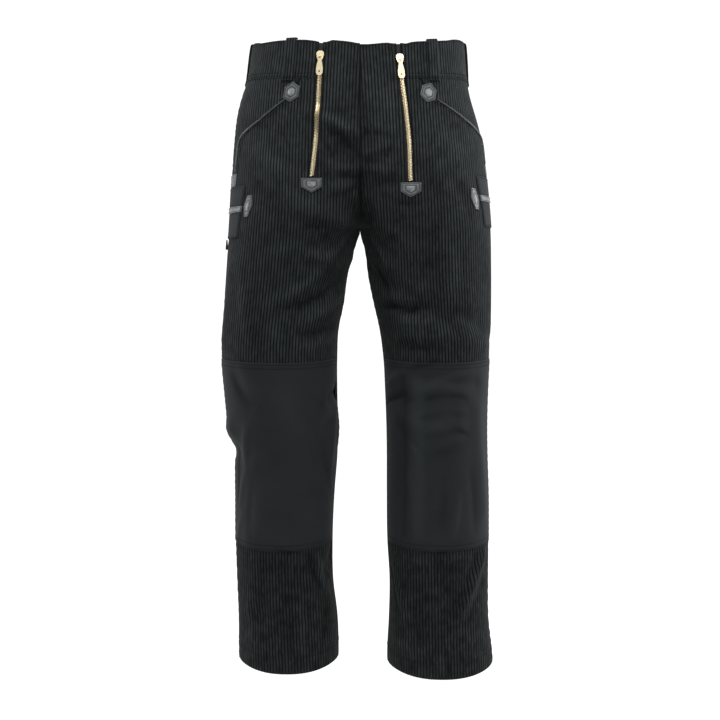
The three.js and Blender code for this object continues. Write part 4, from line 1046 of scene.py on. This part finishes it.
# Belt loops. Narrow strips of the corduroy, edges folded under, sewn down at the waistband seam with
# a bartack and turned over the top edge. They stand a few millimetres off the band.
LOOP_HALF = 9.0
LOOP_RIBS = 4
LOOP_RELIEF = 0.7
LOOP_ROWS = 30
LOOP_COLUMN_STEP = 0.75
LOOP_OUTSIDE = (
    # distance out of the cloth, height
    (3.2, -31), (3.5, -24), (4.7, -14), (5.7, 2), (5.7, 18), (5.3, 30), (4.6, 35), (3.6, 36.4), (1, 36.6),
    (-2.2, 36.4),
)
LOOP_INSIDE = (
    (1.3, -31), (1.3, -24), (2.6, -14), (3.6, 2), (3.6, 18), (3, 30), (2.6, 33.6), (2.2, 34.4), (0.6, 34.6),
    (-2.2, 34.6),
)
BARTACK_HEIGHTS = (-28.5, -26.5, -24.5)
BARTACK_HALF = 7.5
LOOP_PLACES = {
    "front_right": (RIGHT, 34.5), "front_left": (LEFT, 38.5),
    "side_right": (RIGHT, 92.0), "side_left": (LEFT, 92.0), "back": (LEFT, 180.0),
}
for name, (side, turn) in LOOP_PLACES.items():
    parts = MeshParts()
    scale = stretch(side, turn, 0)
    across = np.arange(-LOOP_HALF, LOOP_HALF + 0.01, LOOP_COLUMN_STEP)
    angle = np.broadcast_to(turn + across / scale, (LOOP_ROWS, len(across)))
    crest = np.sin(np.pi * ((across / (2 * LOOP_HALF) + 0.5) * LOOP_RIBS % 1)) ** RIB_ROUNDNESS
    fold = -0.9 * np.clip((np.abs(across) - LOOP_HALF + 1.2) / 1.2, 0, 1) ** 2
    starts = []
    for path, relief, wale in (
        (LOOP_OUTSIDE, LOOP_RELIEF * (crest - 0.6) + fold, crest), (LOOP_INSIDE, -fold * 0.6, 0.4),
    ):
        path = np.array(path, float)
        run = run_along(path)
        at = np.linspace(0, run[-1], LOOP_ROWS)
        out, height = [np.interp(at, run, path[:, k])[:, None] for k in (0, 1)]
        points = skin_points(side, angle, height, out + np.clip(relief, -1.0, 0.4))
        starts.append(parts.add_points(points, np.broadcast_to(wale, angle.shape)))
    rows = np.broadcast_to(np.arange(LOOP_ROWS)[:, None], angle.shape)
    layer = {"ids": np.arange(angle.size).reshape(angle.shape), "across": angle, "height": -rows}
    parts.add_shell(layer, layer, starts, side < 0)
    tack = np.linspace(turn - BARTACK_HALF / scale, turn + BARTACK_HALF / scale, 6)
    for height in BARTACK_HEIGHTS:
        add_stitches(parts, side, tack, height, 3.7, length=2.4, pitch=1.9, radius=0.4, slot=1)
    loop = parts.build(f"belt_loop_{name}_cord", [corduroy, thread])
    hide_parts(f"belt_loop_{name}")

# Zips. Brass teeth clamped on black woven tape, closed from the slider down to the leather end patch.
# The teeth of the two sides interlock, so they stand half a pitch apart.
TAPE_COLUMNS = (-9.0, -8.4, -SLOT_HALF, -1.0, 1.0, SLOT_HALF, 8.4, 9.0)
TAPE_OUT = -3.0
TAPE_THICK = 0.7
TAPE_ROW_STEP = 5.0
TOOTH_PITCH = 2.4
TOOTH_HALF_LENGTH = 0.75
TOOTH_REACH = 3.3
TOOTH_OVERLAP = 0.9
TOOTH_LOW = -2.5
TOOTH_TOP = 0.35
SLIDER_HALF = 7.0
END_PATCH_TOP = {RIGHT: -190.0, LEFT: -197.0}

# Woven polyester tape: even ribs, matt, with a slightly raised cord at the edge.
# Its ribs are drawn 1.3 mm apart, twice as coarse as real, so that they show.
tape_weave, tree, shader, place = new_material("woven_zip_tape", on_cloth=True)
rows = add_node(tree, "ShaderNodeTexWave", {"bands_direction": "Y"}, {"Vector": place, "Scale": 1 / 0.004})
rows = rows.outputs["Fac"]
finish(tree, shader, {"Roughness": 0.8}, rows, "#050506", "#16181a", rows, 0.5, 0.0003)

# Cast brass, tumbled and lacquered: pale and warm, with small scratches and dulled low places.
brass, tree, shader, place = new_material("tumbled_brass")
dull = add_node(tree, "ShaderNodeTexNoise", None, {"Vector": place, "Scale": 1 / 0.004, "Detail": 4.0})
scratch_place = add_node(tree, "ShaderNodeMapping", None, {
    "Vector": place, "Scale": (1 / 0.0006, 1 / 0.0006, 1 / 0.006),
})
scratches = add_node(tree, "ShaderNodeTexNoise", None, {"Vector": scratch_place, "Scale": 1.0, "Detail": 2.0})
rough = add_node(tree, "ShaderNodeMapRange", None, {"Value": scratches, "To Min": 0.34, "To Max": 0.52})
tree.links.new(rough.outputs[0], shader.inputs["Roughness"])
finish(tree, shader, {"Metallic": 1.0}, dull, "#e9d5a8", "#fbf0d2", scratches, 0.12, 0.0001)

# A tooth as seen from the tape: a block with a bevelled top, its inner end narrowed to hook its neighbours.
TOOTH_SECTION = ((-1.0, 0.0), (-1.0, 0.72), (-0.6, 1.0), (0.6, 1.0), (1.0, 0.72), (1.0, 0.0))
TOOTH_STATIONS = (
    # share of the way from root to tip, width, height
    (0.0, 1.0, 0.86), (0.12, 1.0, 1.0), (0.62, 1.0, 1.0), (0.72, 0.62, 0.96), (0.94, 0.62, 0.96),
    (1.0, 0.5, 0.8),
)


def tooth_form():
    """One tooth: its points as share of its length, place along the chain and height, and its faces."""
    size = len(TOOTH_SECTION)
    points = np.array([
        (share, wide * y * TOOTH_HALF_LENGTH, TOOTH_LOW + (TOOTH_TOP - TOOTH_LOW) * z * tall)
        for share, wide, tall in TOOTH_STATIONS for y, z in TOOTH_SECTION
    ])
    ids = np.arange(len(points)).reshape(-1, size)
    last = ids[-1, 0]
    caps = [(0, k, k + 1) for k in range(1, size - 1)]
    caps += [(last, last + k + 1, last + k) for k in range(1, size - 1)]
    return points, np.concatenate([tube_faces(ids, False), np.array(caps)])


def slider_foot(side):
    """The height at which the chain starts, just under the slider."""
    pair = SLIDER_HEIGHT[side] + np.array([1, -1])
    upper, lower = skin_points(side, zip_angle(side, pair, 0), pair, 0.0)
    return SLIDER_HEIGHT[side] - (SLIDER_HALF + SEAM_GAP) * 2 / np.linalg.norm(upper - lower)


tooth, tooth_faces = tooth_form()
for name, side in SIDES.items():
    parts = MeshParts()
    heights = rows_between(TOP_EDGE - 1, ZIP_END - 6, TAPE_ROW_STEP)
    height, across = np.broadcast_arrays(heights[:, None], np.array(TAPE_COLUMNS)[None, :])
    angle = zip_angle(side, height, across)
    starts = [
        parts.add_points(skin_points(side, angle, height, out), 0.5, np.stack([across, height], -1))
        for out in (TAPE_OUT, TAPE_OUT - TAPE_THICK)
    ]
    layer = {"ids": np.arange(angle.size).reshape(angle.shape), "across": across, "height": height}
    parts.add_shell(layer, layer, starts, side < 0)
    tape = parts.build(f"zip_tape_{name}_woven", [tape_weave])
    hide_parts(f"zip_tape_{name}")

    parts = MeshParts()
    fine = np.linspace(slider_foot(side) - 1.0, END_PATCH_TOP[side] + SEAM_GAP + 1.0, 400)
    run = run_along(skin_points(side, zip_angle(side, fine, 0), fine, 0.0))
    count = int(run[-1] / (TOOTH_PITCH / 2))
    for k, middle in enumerate(np.interp(np.arange(count) * TOOTH_PITCH / 2, run, fine)):
        hand = 1 if k % 2 else -1
        across = hand * (TOOTH_REACH - tooth[:, 0] * (TOOTH_REACH + TOOTH_OVERLAP))
        heights = middle + tooth[:, 1]
        start = parts.add_points(skin_points(side, zip_angle(side, heights, across), heights, tooth[:, 2]))
        parts.add_faces((tooth_faces if hand * side > 0 else tooth_faces[:, ::-1]) + start)
    teeth = parts.build(f"zip_teeth_{name}", [brass], sharp=30)
    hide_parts(f"zip_chain_{name}")

# Sliders and pull tabs. Brass castings with softened edges: the slider keeps its place at the top of the zip,
# and the flat tapered tab with a round eye hangs from its bar.
CAST_EDGE = 0.00022
for name in SIDES:
    for node, body in ((f"zip_slider_{name}", "trousers"), (f"zip_pull_{name}", f"pull_{name}")):
        casting = bpy.data.objects.new(f"{node}_casting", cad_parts[node].data.copy())
        bpy.context.scene.collection.objects.link(casting)
        bevel = casting.modifiers.new("edge", "BEVEL")
        bevel.width = CAST_EDGE
        bevel.segments = 2
        bevel.limit_method = "ANGLE"
        bevel.angle_limit = math.radians(40)
        bpy.context.view_layer.update()
        bevelled = casting.evaluated_get(bpy.context.evaluated_depsgraph_get())
        rounded = bpy.data.meshes.new_from_object(bevelled)
        casting.modifiers.clear()
        casting.data = rounded
        rounded.materials.clear()
        rounded.materials.append(brass)
        rounded.shade_smooth()
        rounded.set_sharp_from_angle(angle=math.radians(35))
        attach(casting, body)
        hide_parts(node)

# Leather trims. Grey pebbled leather, cut in small shapes, skived thin at the edge and sewn with two rows,
# with a rolled leather cord along each slanted mouth and a leather binding on each thigh pocket.
PATCH_OUT = 0.5
PATCH_THICK = 1.4
leather, tree, shader, place = new_material("grey_pebbled_leather")
pebble = add_node(tree, "ShaderNodeTexVoronoi", {"feature": "SMOOTH_F1"}, {
    "Vector": place, "Scale": 1 / 0.0011,
}).outputs["Distance"]
patchy = add_node(tree, "ShaderNodeTexNoise", None, {"Vector": place, "Scale": 1 / 0.006, "Detail": 4.0})
mixed = add_node(tree, "ShaderNodeMath", {"operation": "MULTIPLY_ADD"}, {0: pebble, 1: 0.35, 2: patchy})
tone = add_node(tree, "ShaderNodeMapRange", None, {"Value": mixed, "From Min": 0.25, "From Max": 1.15})
# This attribute paints a patch's raised middle pale, as a painted highlight, and its dips dark, as painted
# shade.
raised = add_node(tree, "ShaderNodeAttribute", {"attribute_name": "wale"}).outputs["Fac"]
tone = add_node(tree, "ShaderNodeMath", {"operation": "MULTIPLY"}, {0: tone, 1: raised})
finish(tree, shader, {"Roughness": 0.42}, tone, "#2c3032", "#b4b9bb", pebble, 0.35, 0.0003, sunk=True)

# The same leather rolled round a cord is darker and smoother, rubbed by hands along its crown.
rolled_leather, tree, shader, place = new_material("rolled_dark_leather")
patchy = add_node(tree, "ShaderNodeTexNoise", None, {"Vector": place, "Scale": 1 / 0.005, "Detail": 4.0})
finish(tree, shader, {"Roughness": 0.5}, patchy, "#1d2021", "#3c4143", patchy, 0.25, 0.0003)

# A patch's face: shares of the way out from its middle, and its height there as a share of its thickness.
# Its two rows of stitches lie in the two dips. Where it stands high the leather is painted pale, as a painted
# highlight, and its dips are painted dark, as painted shade.
PATCH_PROFILE = (
    (0.0, 1.35), (0.2, 1.35), (0.38, 1.2), (0.46, 0.9), (0.52, 0.8), (0.58, 0.92), (0.7, 1.0), (0.8, 0.82),
    (0.85, 0.78), (0.9, 0.86), (0.96, 0.82), (0.99, 0.62), (1.0, 0.35),
)
PATCH_STITCHES = (0.52, 0.85)
HIGHLIGHT_FROM = 0.78
HIGHLIGHT_SPAN = 0.72
HIGHLIGHT_LEAST = 0.1


def add_patch(parts, side, angle, height, outline, raised=True, cells=5, place=None):
    """A sewn-down patch, pillowed between its seams. Its outline is offsets round the leg and up."""
    scale = float(stretch(side, angle, height))
    place = place or (lambda out, up: angle + out / scale)
    outline = np.array(outline, float)
    after = np.roll(outline, -1, axis=0)
    steps = np.arange(cells)[:, None, None] / cells
    edge = (outline + (after - outline) * steps).transpose(1, 0, 2).reshape(-1, 2)
    shares, rises = np.array(PATCH_PROFILE).T
    rises = rises if raised else np.minimum(rises, 1.0)
    # Painted highlight on the high parts of a patch, painted shade in its dips.
    patch_highlight = np.append(np.maximum(rises - HIGHLIGHT_FROM, 0) / HIGHLIGHT_SPAN + HIGHLIGHT_LEAST, HIGHLIGHT_LEAST)
    offsets = edge * np.append(shares, 1.0)[:, None, None]
    out = np.append(PATCH_OUT + PATCH_THICK * rises, PATCH_OUT)[:, None]
    points = skin_points(side, place(offsets[..., 0], offsets[..., 1]), height + offsets[..., 1], out)
    start = parts.add_points(points, np.broadcast_to(patch_highlight[:, None], points.shape[:2]), offsets)
    ids = np.arange(points.shape[0] * points.shape[1]).reshape(points.shape[:2]) + start
    parts.add_faces(tube_faces(ids, side < 0))
    for share in PATCH_STITCHES:
        across, up = (np.concatenate([edge, edge[:1]]) * share).T
        add_stitches(parts, side, place(across, up), height + up, PATCH_OUT + PATCH_THICK * 0.9,
                     length=1.5, pitch=2.1, radius=0.26, slot=1)


def turned_outline(outline, angle):
    c, s = math.cos(math.radians(angle)), math.sin(math.radians(angle))
    return [(out * c + up * s, up * c - out * s) for out, up in outline]


# Outlines are in millimetres. Places are an angle, a height and a tilt, or two angles and two heights.
MOUTH_PATCH_OUTLINE = ((0, 17.5), (-12.5, 8.5), (-12.5, -8.5), (0, -17.5), (12.5, -8.5), (12.5, 8.5))
MOUTH_PATCHES = {RIGHT: (30.5, -50.0, 2.0), LEFT: (33.2, -51.0, 20.0)}
THIGH_PATCH_OUTLINE = ((4.5, 17), (-4.5, 17), (-10, 0), (-4.5, -17), (4.5, -17), (9.5, 0))
THIGH_PATCHES = {RIGHT: (42.5, -232.0, 4.0), LEFT: (48.5, -220.0, 4.0)}
END_PATCH_OUTLINE = ((16, 10), (5.5, 10), (-5.5, 10), (-16, 10), (-16, -4), (0, -13), (16, -4))
END_PATCH_DROP = 10.0
MOUTH_END_PATCHES = {RIGHT: (65.0, 88.0, -178.0, -198.5), LEFT: (77.0, 98.0, -162.0, -182.5)}


def zip_end_patch(side):
    """The place and outline of the patch below a zip, and the function that keeps its sides upright."""
    middle = float(zip_line[side](END_PATCH_TOP[side]))
    height = END_PATCH_TOP[side] - END_PATCH_DROP
    return {
        "angle": float(angle_at_x(side, middle, height)), "height": height, "outline": END_PATCH_OUTLINE,
        "place": lambda out, up: angle_at_x(side, middle + out, height + up),
    }


def mouth_end_patch(side):
    """The place and outline of the flat patch at the foot of a slanted mouth."""
    low, high, top, bottom = MOUTH_END_PATCHES[side]
    angle, height = (low + high) / 2, (top + bottom) / 2
    half, tall = (high - low) / 2 * float(stretch(side, angle, height)), (top - bottom) / 2
    outline = ((half, tall), (-half, tall), (-half, -tall), (half, -tall))
    return {"angle": angle, "height": height, "outline": outline, "raised": False, "cells": 8}


def tilted_patch(place, outline):
    angle, height, tilt = place
    return {"angle": angle, "height": height, "outline": turned_outline(outline, tilt)}


# The piping's ends, as heights, and its section: shares of half its width, and heights above the cloth.
PIPING_ENDS = {RIGHT: (-61.3, -177.0), LEFT: (-60.5, -161.0)}
PIPING_HALF = 1.9
PIPING_END_SHARE = 0.45
PIPING_FOOT = 0.7
PIPING_SECTION = (
    (-1.0, PIPING_FOOT), (-1.0, 1.3), (-0.75, 2.0), (-0.35, 2.4), (0.0, 2.5), (0.35, 2.4), (0.75, 2.0),
    (1.0, 1.3), (1.0, PIPING_FOOT),
)


def beside_mouth(side, height, across):
    """The angle and height of a point beside the slanted mouth, that far along the cloth from it."""
    here, ahead, behind = [
        np.stack([mouth_line[side](at) * MM_PER_DEGREE, at], -1) for at in (height, height - 6, height + 6)
    ]
    run = ahead - behind
    run = run / np.linalg.norm(run, axis=-1, keepdims=True)
    spot = here + np.stack([-run[..., 1], run[..., 0]], -1) * across[..., None]
    angle = mouth_line[side](height)
    return angle + (spot[..., 0] - here[..., 0]) / stretch(side, angle, height), spot[..., 1]


for name, side in SIDES.items():
    for title, patch_form in (
        ("mouth_patch", tilted_patch(MOUTH_PATCHES[side], MOUTH_PATCH_OUTLINE)),
        ("thigh_pocket_patch", tilted_patch(THIGH_PATCHES[side], THIGH_PATCH_OUTLINE)),
        ("zip_end_patch", zip_end_patch(side)),
        ("mouth_end_patch", mouth_end_patch(side)),
    ):
        parts = MeshParts()
        add_patch(parts, side, **patch_form)
        patch = parts.build(f"{title}_{name}_leather", [leather, thread], sharp=50)
        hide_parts(f"{title}_{name}")

    parts = MeshParts()
    heights = line_heights(*PIPING_ENDS[side])
    ends = np.ones((len(heights), 1))
    ends[[0, -1]] = PIPING_END_SHARE
    shares, rises = np.array(PIPING_SECTION).T
    across = shares * PIPING_HALF * ends
    angle, height = beside_mouth(side, np.broadcast_to(heights[:, None], across.shape), across)
    start = parts.add_points(skin_points(side, angle, height, PIPING_FOOT + (rises - PIPING_FOOT) * ends))
    ids = np.arange(across.size).reshape(across.shape) + start
    parts.add_faces(tube_faces(ids, side < 0))
    for row in (ids[0], ids[-1][::-1]):
        fan = np.array([(row[0], row[k], row[k + 1]) for k in range(1, len(row) - 1)])
        parts.add_faces(fan if side < 0 else fan[:, ::-1])
    piping = parts.build(f"pocket_piping_{name}_leather", [rolled_leather], sharp=60)
    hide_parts(f"pocket_piping_{name}")

# Knee patches. Smooth plain-woven hard-wearing cloth covers each knee from seam to seam,
# with its upper and lower edges turned under and topstitched. It is paler at random by use, and paler on
# crease
# ridges and darker in their troughs: partly wear, partly painted light and shade.
# Its threads are drawn 0.9 and 1 mm apart, about half as coarse again as real, so that they show.
KNEE_OUT = 0.3
KNEE_THICK = 1.1
KNEE_STITCHES = (KNEE_TOP - 2.5, KNEE_TOP - 9.0, KNEE_BOTTOM + 2.5, KNEE_BOTTOM + 9.0)
PLAIN_GRID = 3.0
THREAD_OUT = 0.1
plain_cloth, tree, shader, place = new_material("plain_woven_workwear_cloth", on_cloth=True)
warp, weft = [
    add_node(tree, "ShaderNodeTexWave", {"bands_direction": way}, {
        "Vector": place, "Scale": 1 / size, "Distortion": 0.6, "Detail": 1.0,
    }).outputs["Fac"]
    for way, size in (("X", 0.0028), ("Y", 0.0032))
]
weave = add_node(tree, "ShaderNodeMath", {"operation": "MULTIPLY"}, {0: warp, 1: weft})
wear_and_crease_shade = add_node(tree, "ShaderNodeTexNoise", None, {
    "Vector": place, "Scale": 1 / 0.05, "Detail": 5.0, "Roughness": 0.6,
})
# This attribute paints crease ridges paler and troughs darker: partly wear, partly painted light and shade.
rub_and_crease_shade = add_node(tree, "ShaderNodeAttribute", {"attribute_name": "rub_and_crease_shade"}).outputs["Fac"]
wear_and_crease_shade = add_node(tree, "ShaderNodeMath", {"operation": "MULTIPLY_ADD"}, {0: wear_and_crease_shade, 1: 0.5, 2: rub_and_crease_shade})
wear_and_crease_shade = add_node(tree, "ShaderNodeMapRange", None, {"Value": wear_and_crease_shade, "From Min": 0.5, "From Max": 1.05})
shade = add_node(tree, "ShaderNodeMix", {"data_type": "RGBA"}, {
    0: wear_and_crease_shade, 6: linear("#101213"), 7: linear("#3a3f41"),
})
finish(tree, shader, {
    "Roughness": 0.88, "Sheen Weight": 0.03, "Sheen Roughness": 0.5, "Specular IOR Level": 0.2,
}, weave, "#1d2022", shade.outputs[2], weave, 0.35, 0.0003)

for name, side in SIDES.items():
    parts = MeshParts()
    knee_rows = rows_between(KNEE_TOP, KNEE_BOTTOM, PLAIN_GRID)
    add_wall(parts, side, knee_rows, inner_edge, outer_edge, proud=KNEE_OUT + KNEE_THICK, inside=KNEE_OUT,
             plain_grid=PLAIN_GRID, rolled=("top", "bottom"), puckering=0.3)
    knee = parts.build(f"knee_patch_{name}_plain", [plain_cloth, plain_cloth])
    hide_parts(f"knee_patch_{name}")
    parts = MeshParts()
    for height in KNEE_STITCHES:
        turn = np.linspace(float(inner_edge(side, height)) + 1, float(outer_edge(side, height)) - 1, 60)
        add_stitches(parts, side, turn, height, KNEE_OUT + KNEE_THICK + THREAD_OUT)
    stitches = parts.build(f"knee_stitches_{name}", [thread])

# Thigh pockets. A flat patch pocket of the plain cloth on each side seam: an upper strip, a leather-bound
# mouth and the pocket's face below, with a stitched front edge.
POCKET_OUT = 0.9
POCKET_THICK = 1.2
BINDING_THICK = 2.2
POCKET_ROW_STEP = 2.5
# How far the rows of stitches lie inside the edges, in degrees at the sides.
POCKET_TOP_STITCH = 2.5
POCKET_FOOT_STITCH = 3.0
BINDING_STITCH = 1.8
POCKET_SIDE_STITCH = 1.8


def upright_line(angle):
    return lambda side, height: np.full(np.shape(height), angle)


for name, side in SIDES.items():
    low, high, top, mouth_top, mouth_bottom, bottom = THIGH_POCKETS[side]
    for title, upper, lower, thick, cloth in (
        ("underlay", top, mouth_top, POCKET_THICK, plain_cloth),
        ("binding", mouth_top, mouth_bottom, BINDING_THICK, leather),
        ("face", mouth_bottom, bottom, POCKET_THICK, plain_cloth),
    ):
        parts = MeshParts()
        pocket_rows = rows_between(upper, lower + SEAM_GAP, POCKET_ROW_STEP)
        add_wall(parts, side, pocket_rows, upright_line(low), upright_line(high), proud=POCKET_OUT + thick,
                 inside=POCKET_OUT, plain_grid=PLAIN_GRID, rolled=("top", "bottom"), puckering=0.1)
        piece = parts.build(f"thigh_pocket_{title}_{name}_sewn", [cloth, cloth])
        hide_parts(f"thigh_pocket_{title}_{name}")
    parts = MeshParts()
    turn = np.linspace(low + 0.8, high - 0.8, 50)
    for height, thick in (
        (top - POCKET_TOP_STITCH, POCKET_THICK), (mouth_top - BINDING_STITCH, BINDING_THICK),
        (mouth_bottom + BINDING_STITCH, BINDING_THICK), (bottom + POCKET_FOOT_STITCH, POCKET_THICK),
    ):
        add_stitches(parts, side, turn, height, POCKET_OUT + thick + THREAD_OUT)
    for edge in (low + POCKET_SIDE_STITCH, high - POCKET_SIDE_STITCH):
        for upper, lower in ((top - 2, mouth_top + 1), (mouth_bottom - 1, bottom + 2)):
            heights = np.linspace(upper, lower, 20)
            add_stitches(parts, side, edge, heights, POCKET_OUT + POCKET_THICK + THREAD_OUT)
    stitches = parts.build(f"thigh_pocket_stitches_{name}", [thread])

# Side tab. A short fold of plain dark red tape, caught in the right side seam below the thigh pocket.
# It keeps the form of its solid, and its woven rows are 0.6 mm apart.
tab_tape, tree, shader, place = new_material("dark_red_woven_tape")
rows = add_node(tree, "ShaderNodeTexWave", {"bands_direction": "Z"}, {"Vector": place, "Scale": 1 / 0.002})
finish(tree, shader, {"Roughness": 0.85}, rows.outputs["Fac"], "#2a1214", "#3d1a1d")
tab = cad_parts["side_tab"]
tab.data.materials.clear()
tab.data.materials.append(tab_tape)

# Studio: a plain white paper sweep with soft light from both sides, above and the front, and the camera at the
# height of the thighs. The paper under and behind the trousers glows, so that it is as white as in the photo.
FLOOR_HEIGHT = -1.03
FLOOR_HALF_WIDTH = 6.0
FLOOR_FRONT = -4.0
SWEEP_START = 3.2
SWEEP_RADIUS = 1.2
SWEEP_TOP = 5.0


def make_floor():
    paper, tree, shader, place = new_material("studio_paper")
    depth = add_node(tree, "ShaderNodeSeparateXYZ", None, {0: place}).outputs[1]
    glow = add_node(tree, "ShaderNodeMapRange", None, {
        "Value": depth, "From Min": -0.45, "From Max": -0.17, "To Min": 0.05, "To Max": 0.97,
    })
    shader.inputs["Base Color"].default_value = linear("#8c8c8c")
    shader.inputs["Roughness"].default_value = 0.9
    shader.inputs["Emission Color"].default_value = (1.0, 1.0, 1.0, 1.0)
    tree.links.new(glow.outputs[0], shader.inputs["Emission Strength"])
    turns = np.linspace(0, math.pi / 2, 12)
    sweep = [(SWEEP_START + SWEEP_RADIUS * math.sin(a), SWEEP_RADIUS * (1 - math.cos(a))) for a in turns]
    rows = [(FLOOR_FRONT, 0.0), *sweep, (SWEEP_START + SWEEP_RADIUS, SWEEP_TOP)]
    points = [(x, y, FLOOR_HEIGHT + z) for y, z in rows for x in (-FLOOR_HALF_WIDTH, FLOOR_HALF_WIDTH)]
    faces = [(2 * i, 2 * i + 1, 2 * i + 3, 2 * i + 2) for i in range(len(rows) - 1)]
    mesh = bpy.data.meshes.new("studio_floor")
    mesh.from_pydata(points, [], faces)
    mesh.shade_smooth()
    mesh.materials.append(paper)
    floor = bpy.data.objects.new("studio_floor", mesh)
    bpy.context.scene.collection.objects.link(floor)
    return floor


make_floor()

LIGHTS = (
    # name, place, size, watts, aims at
    ("left_strip", (-1.6, 0.2, 0.2), (0.5, 1.7), 17.0, (0, 0, -0.4)),
    ("right_strip", (1.6, 0.2, 0.2), (0.5, 1.7), 25.0, (0, 0, -0.4)),
    ("top_front_box", (0.1, -1.0, 1.5), (0.6, 0.4), 23.0, (0, -0.1, -0.6)),
    ("front_box", (0.3, -1.9, 1.2), (0.7, 0.7), 25.0, (0, 0, -0.4)),
    ("low_front_box", (0.1, -2.5, 0.2), (1.0, 0.5), 9.0, (0, 0, -0.4)),
)
SURROUND_LIGHT = 0.09
for name, place, size, watts, aim in LIGHTS:
    light = bpy.data.lights.new(name, "AREA")
    light.shape = "RECTANGLE"
    light.size, light.size_y = size
    light.energy = watts
    lamp = bpy.data.objects.new(name, light)
    lamp.location = place
    lamp.rotation_euler = (Vector(aim) - Vector(place)).to_track_quat("-Z", "Y").to_euler()
    bpy.context.scene.collection.objects.link(lamp)

world = bpy.data.worlds.new("studio_surround")
world.use_nodes = True
surround = world.node_tree.nodes["Background"]
surround.inputs["Color"].default_value = (1.0, 1.0, 1.0, 1.0)
surround.inputs["Strength"].default_value = SURROUND_LIGHT
bpy.context.scene.world = world
bpy.context.scene.view_settings.view_transform = "Standard"

camera = bpy.data.objects.new("camera", bpy.data.cameras.new("camera"))
camera.data.lens = CAMERA_LENS
camera.data.sensor_width = SENSOR_WIDTH
camera.location = (0, -CAMERA_DISTANCE * 0.001, CAMERA_HEIGHT * 0.001)
camera.rotation_euler = (math.radians(90 - CAMERA_PITCH), 0, 0)
bpy.context.scene.collection.objects.link(camera)
bpy.context.scene.camera = camera
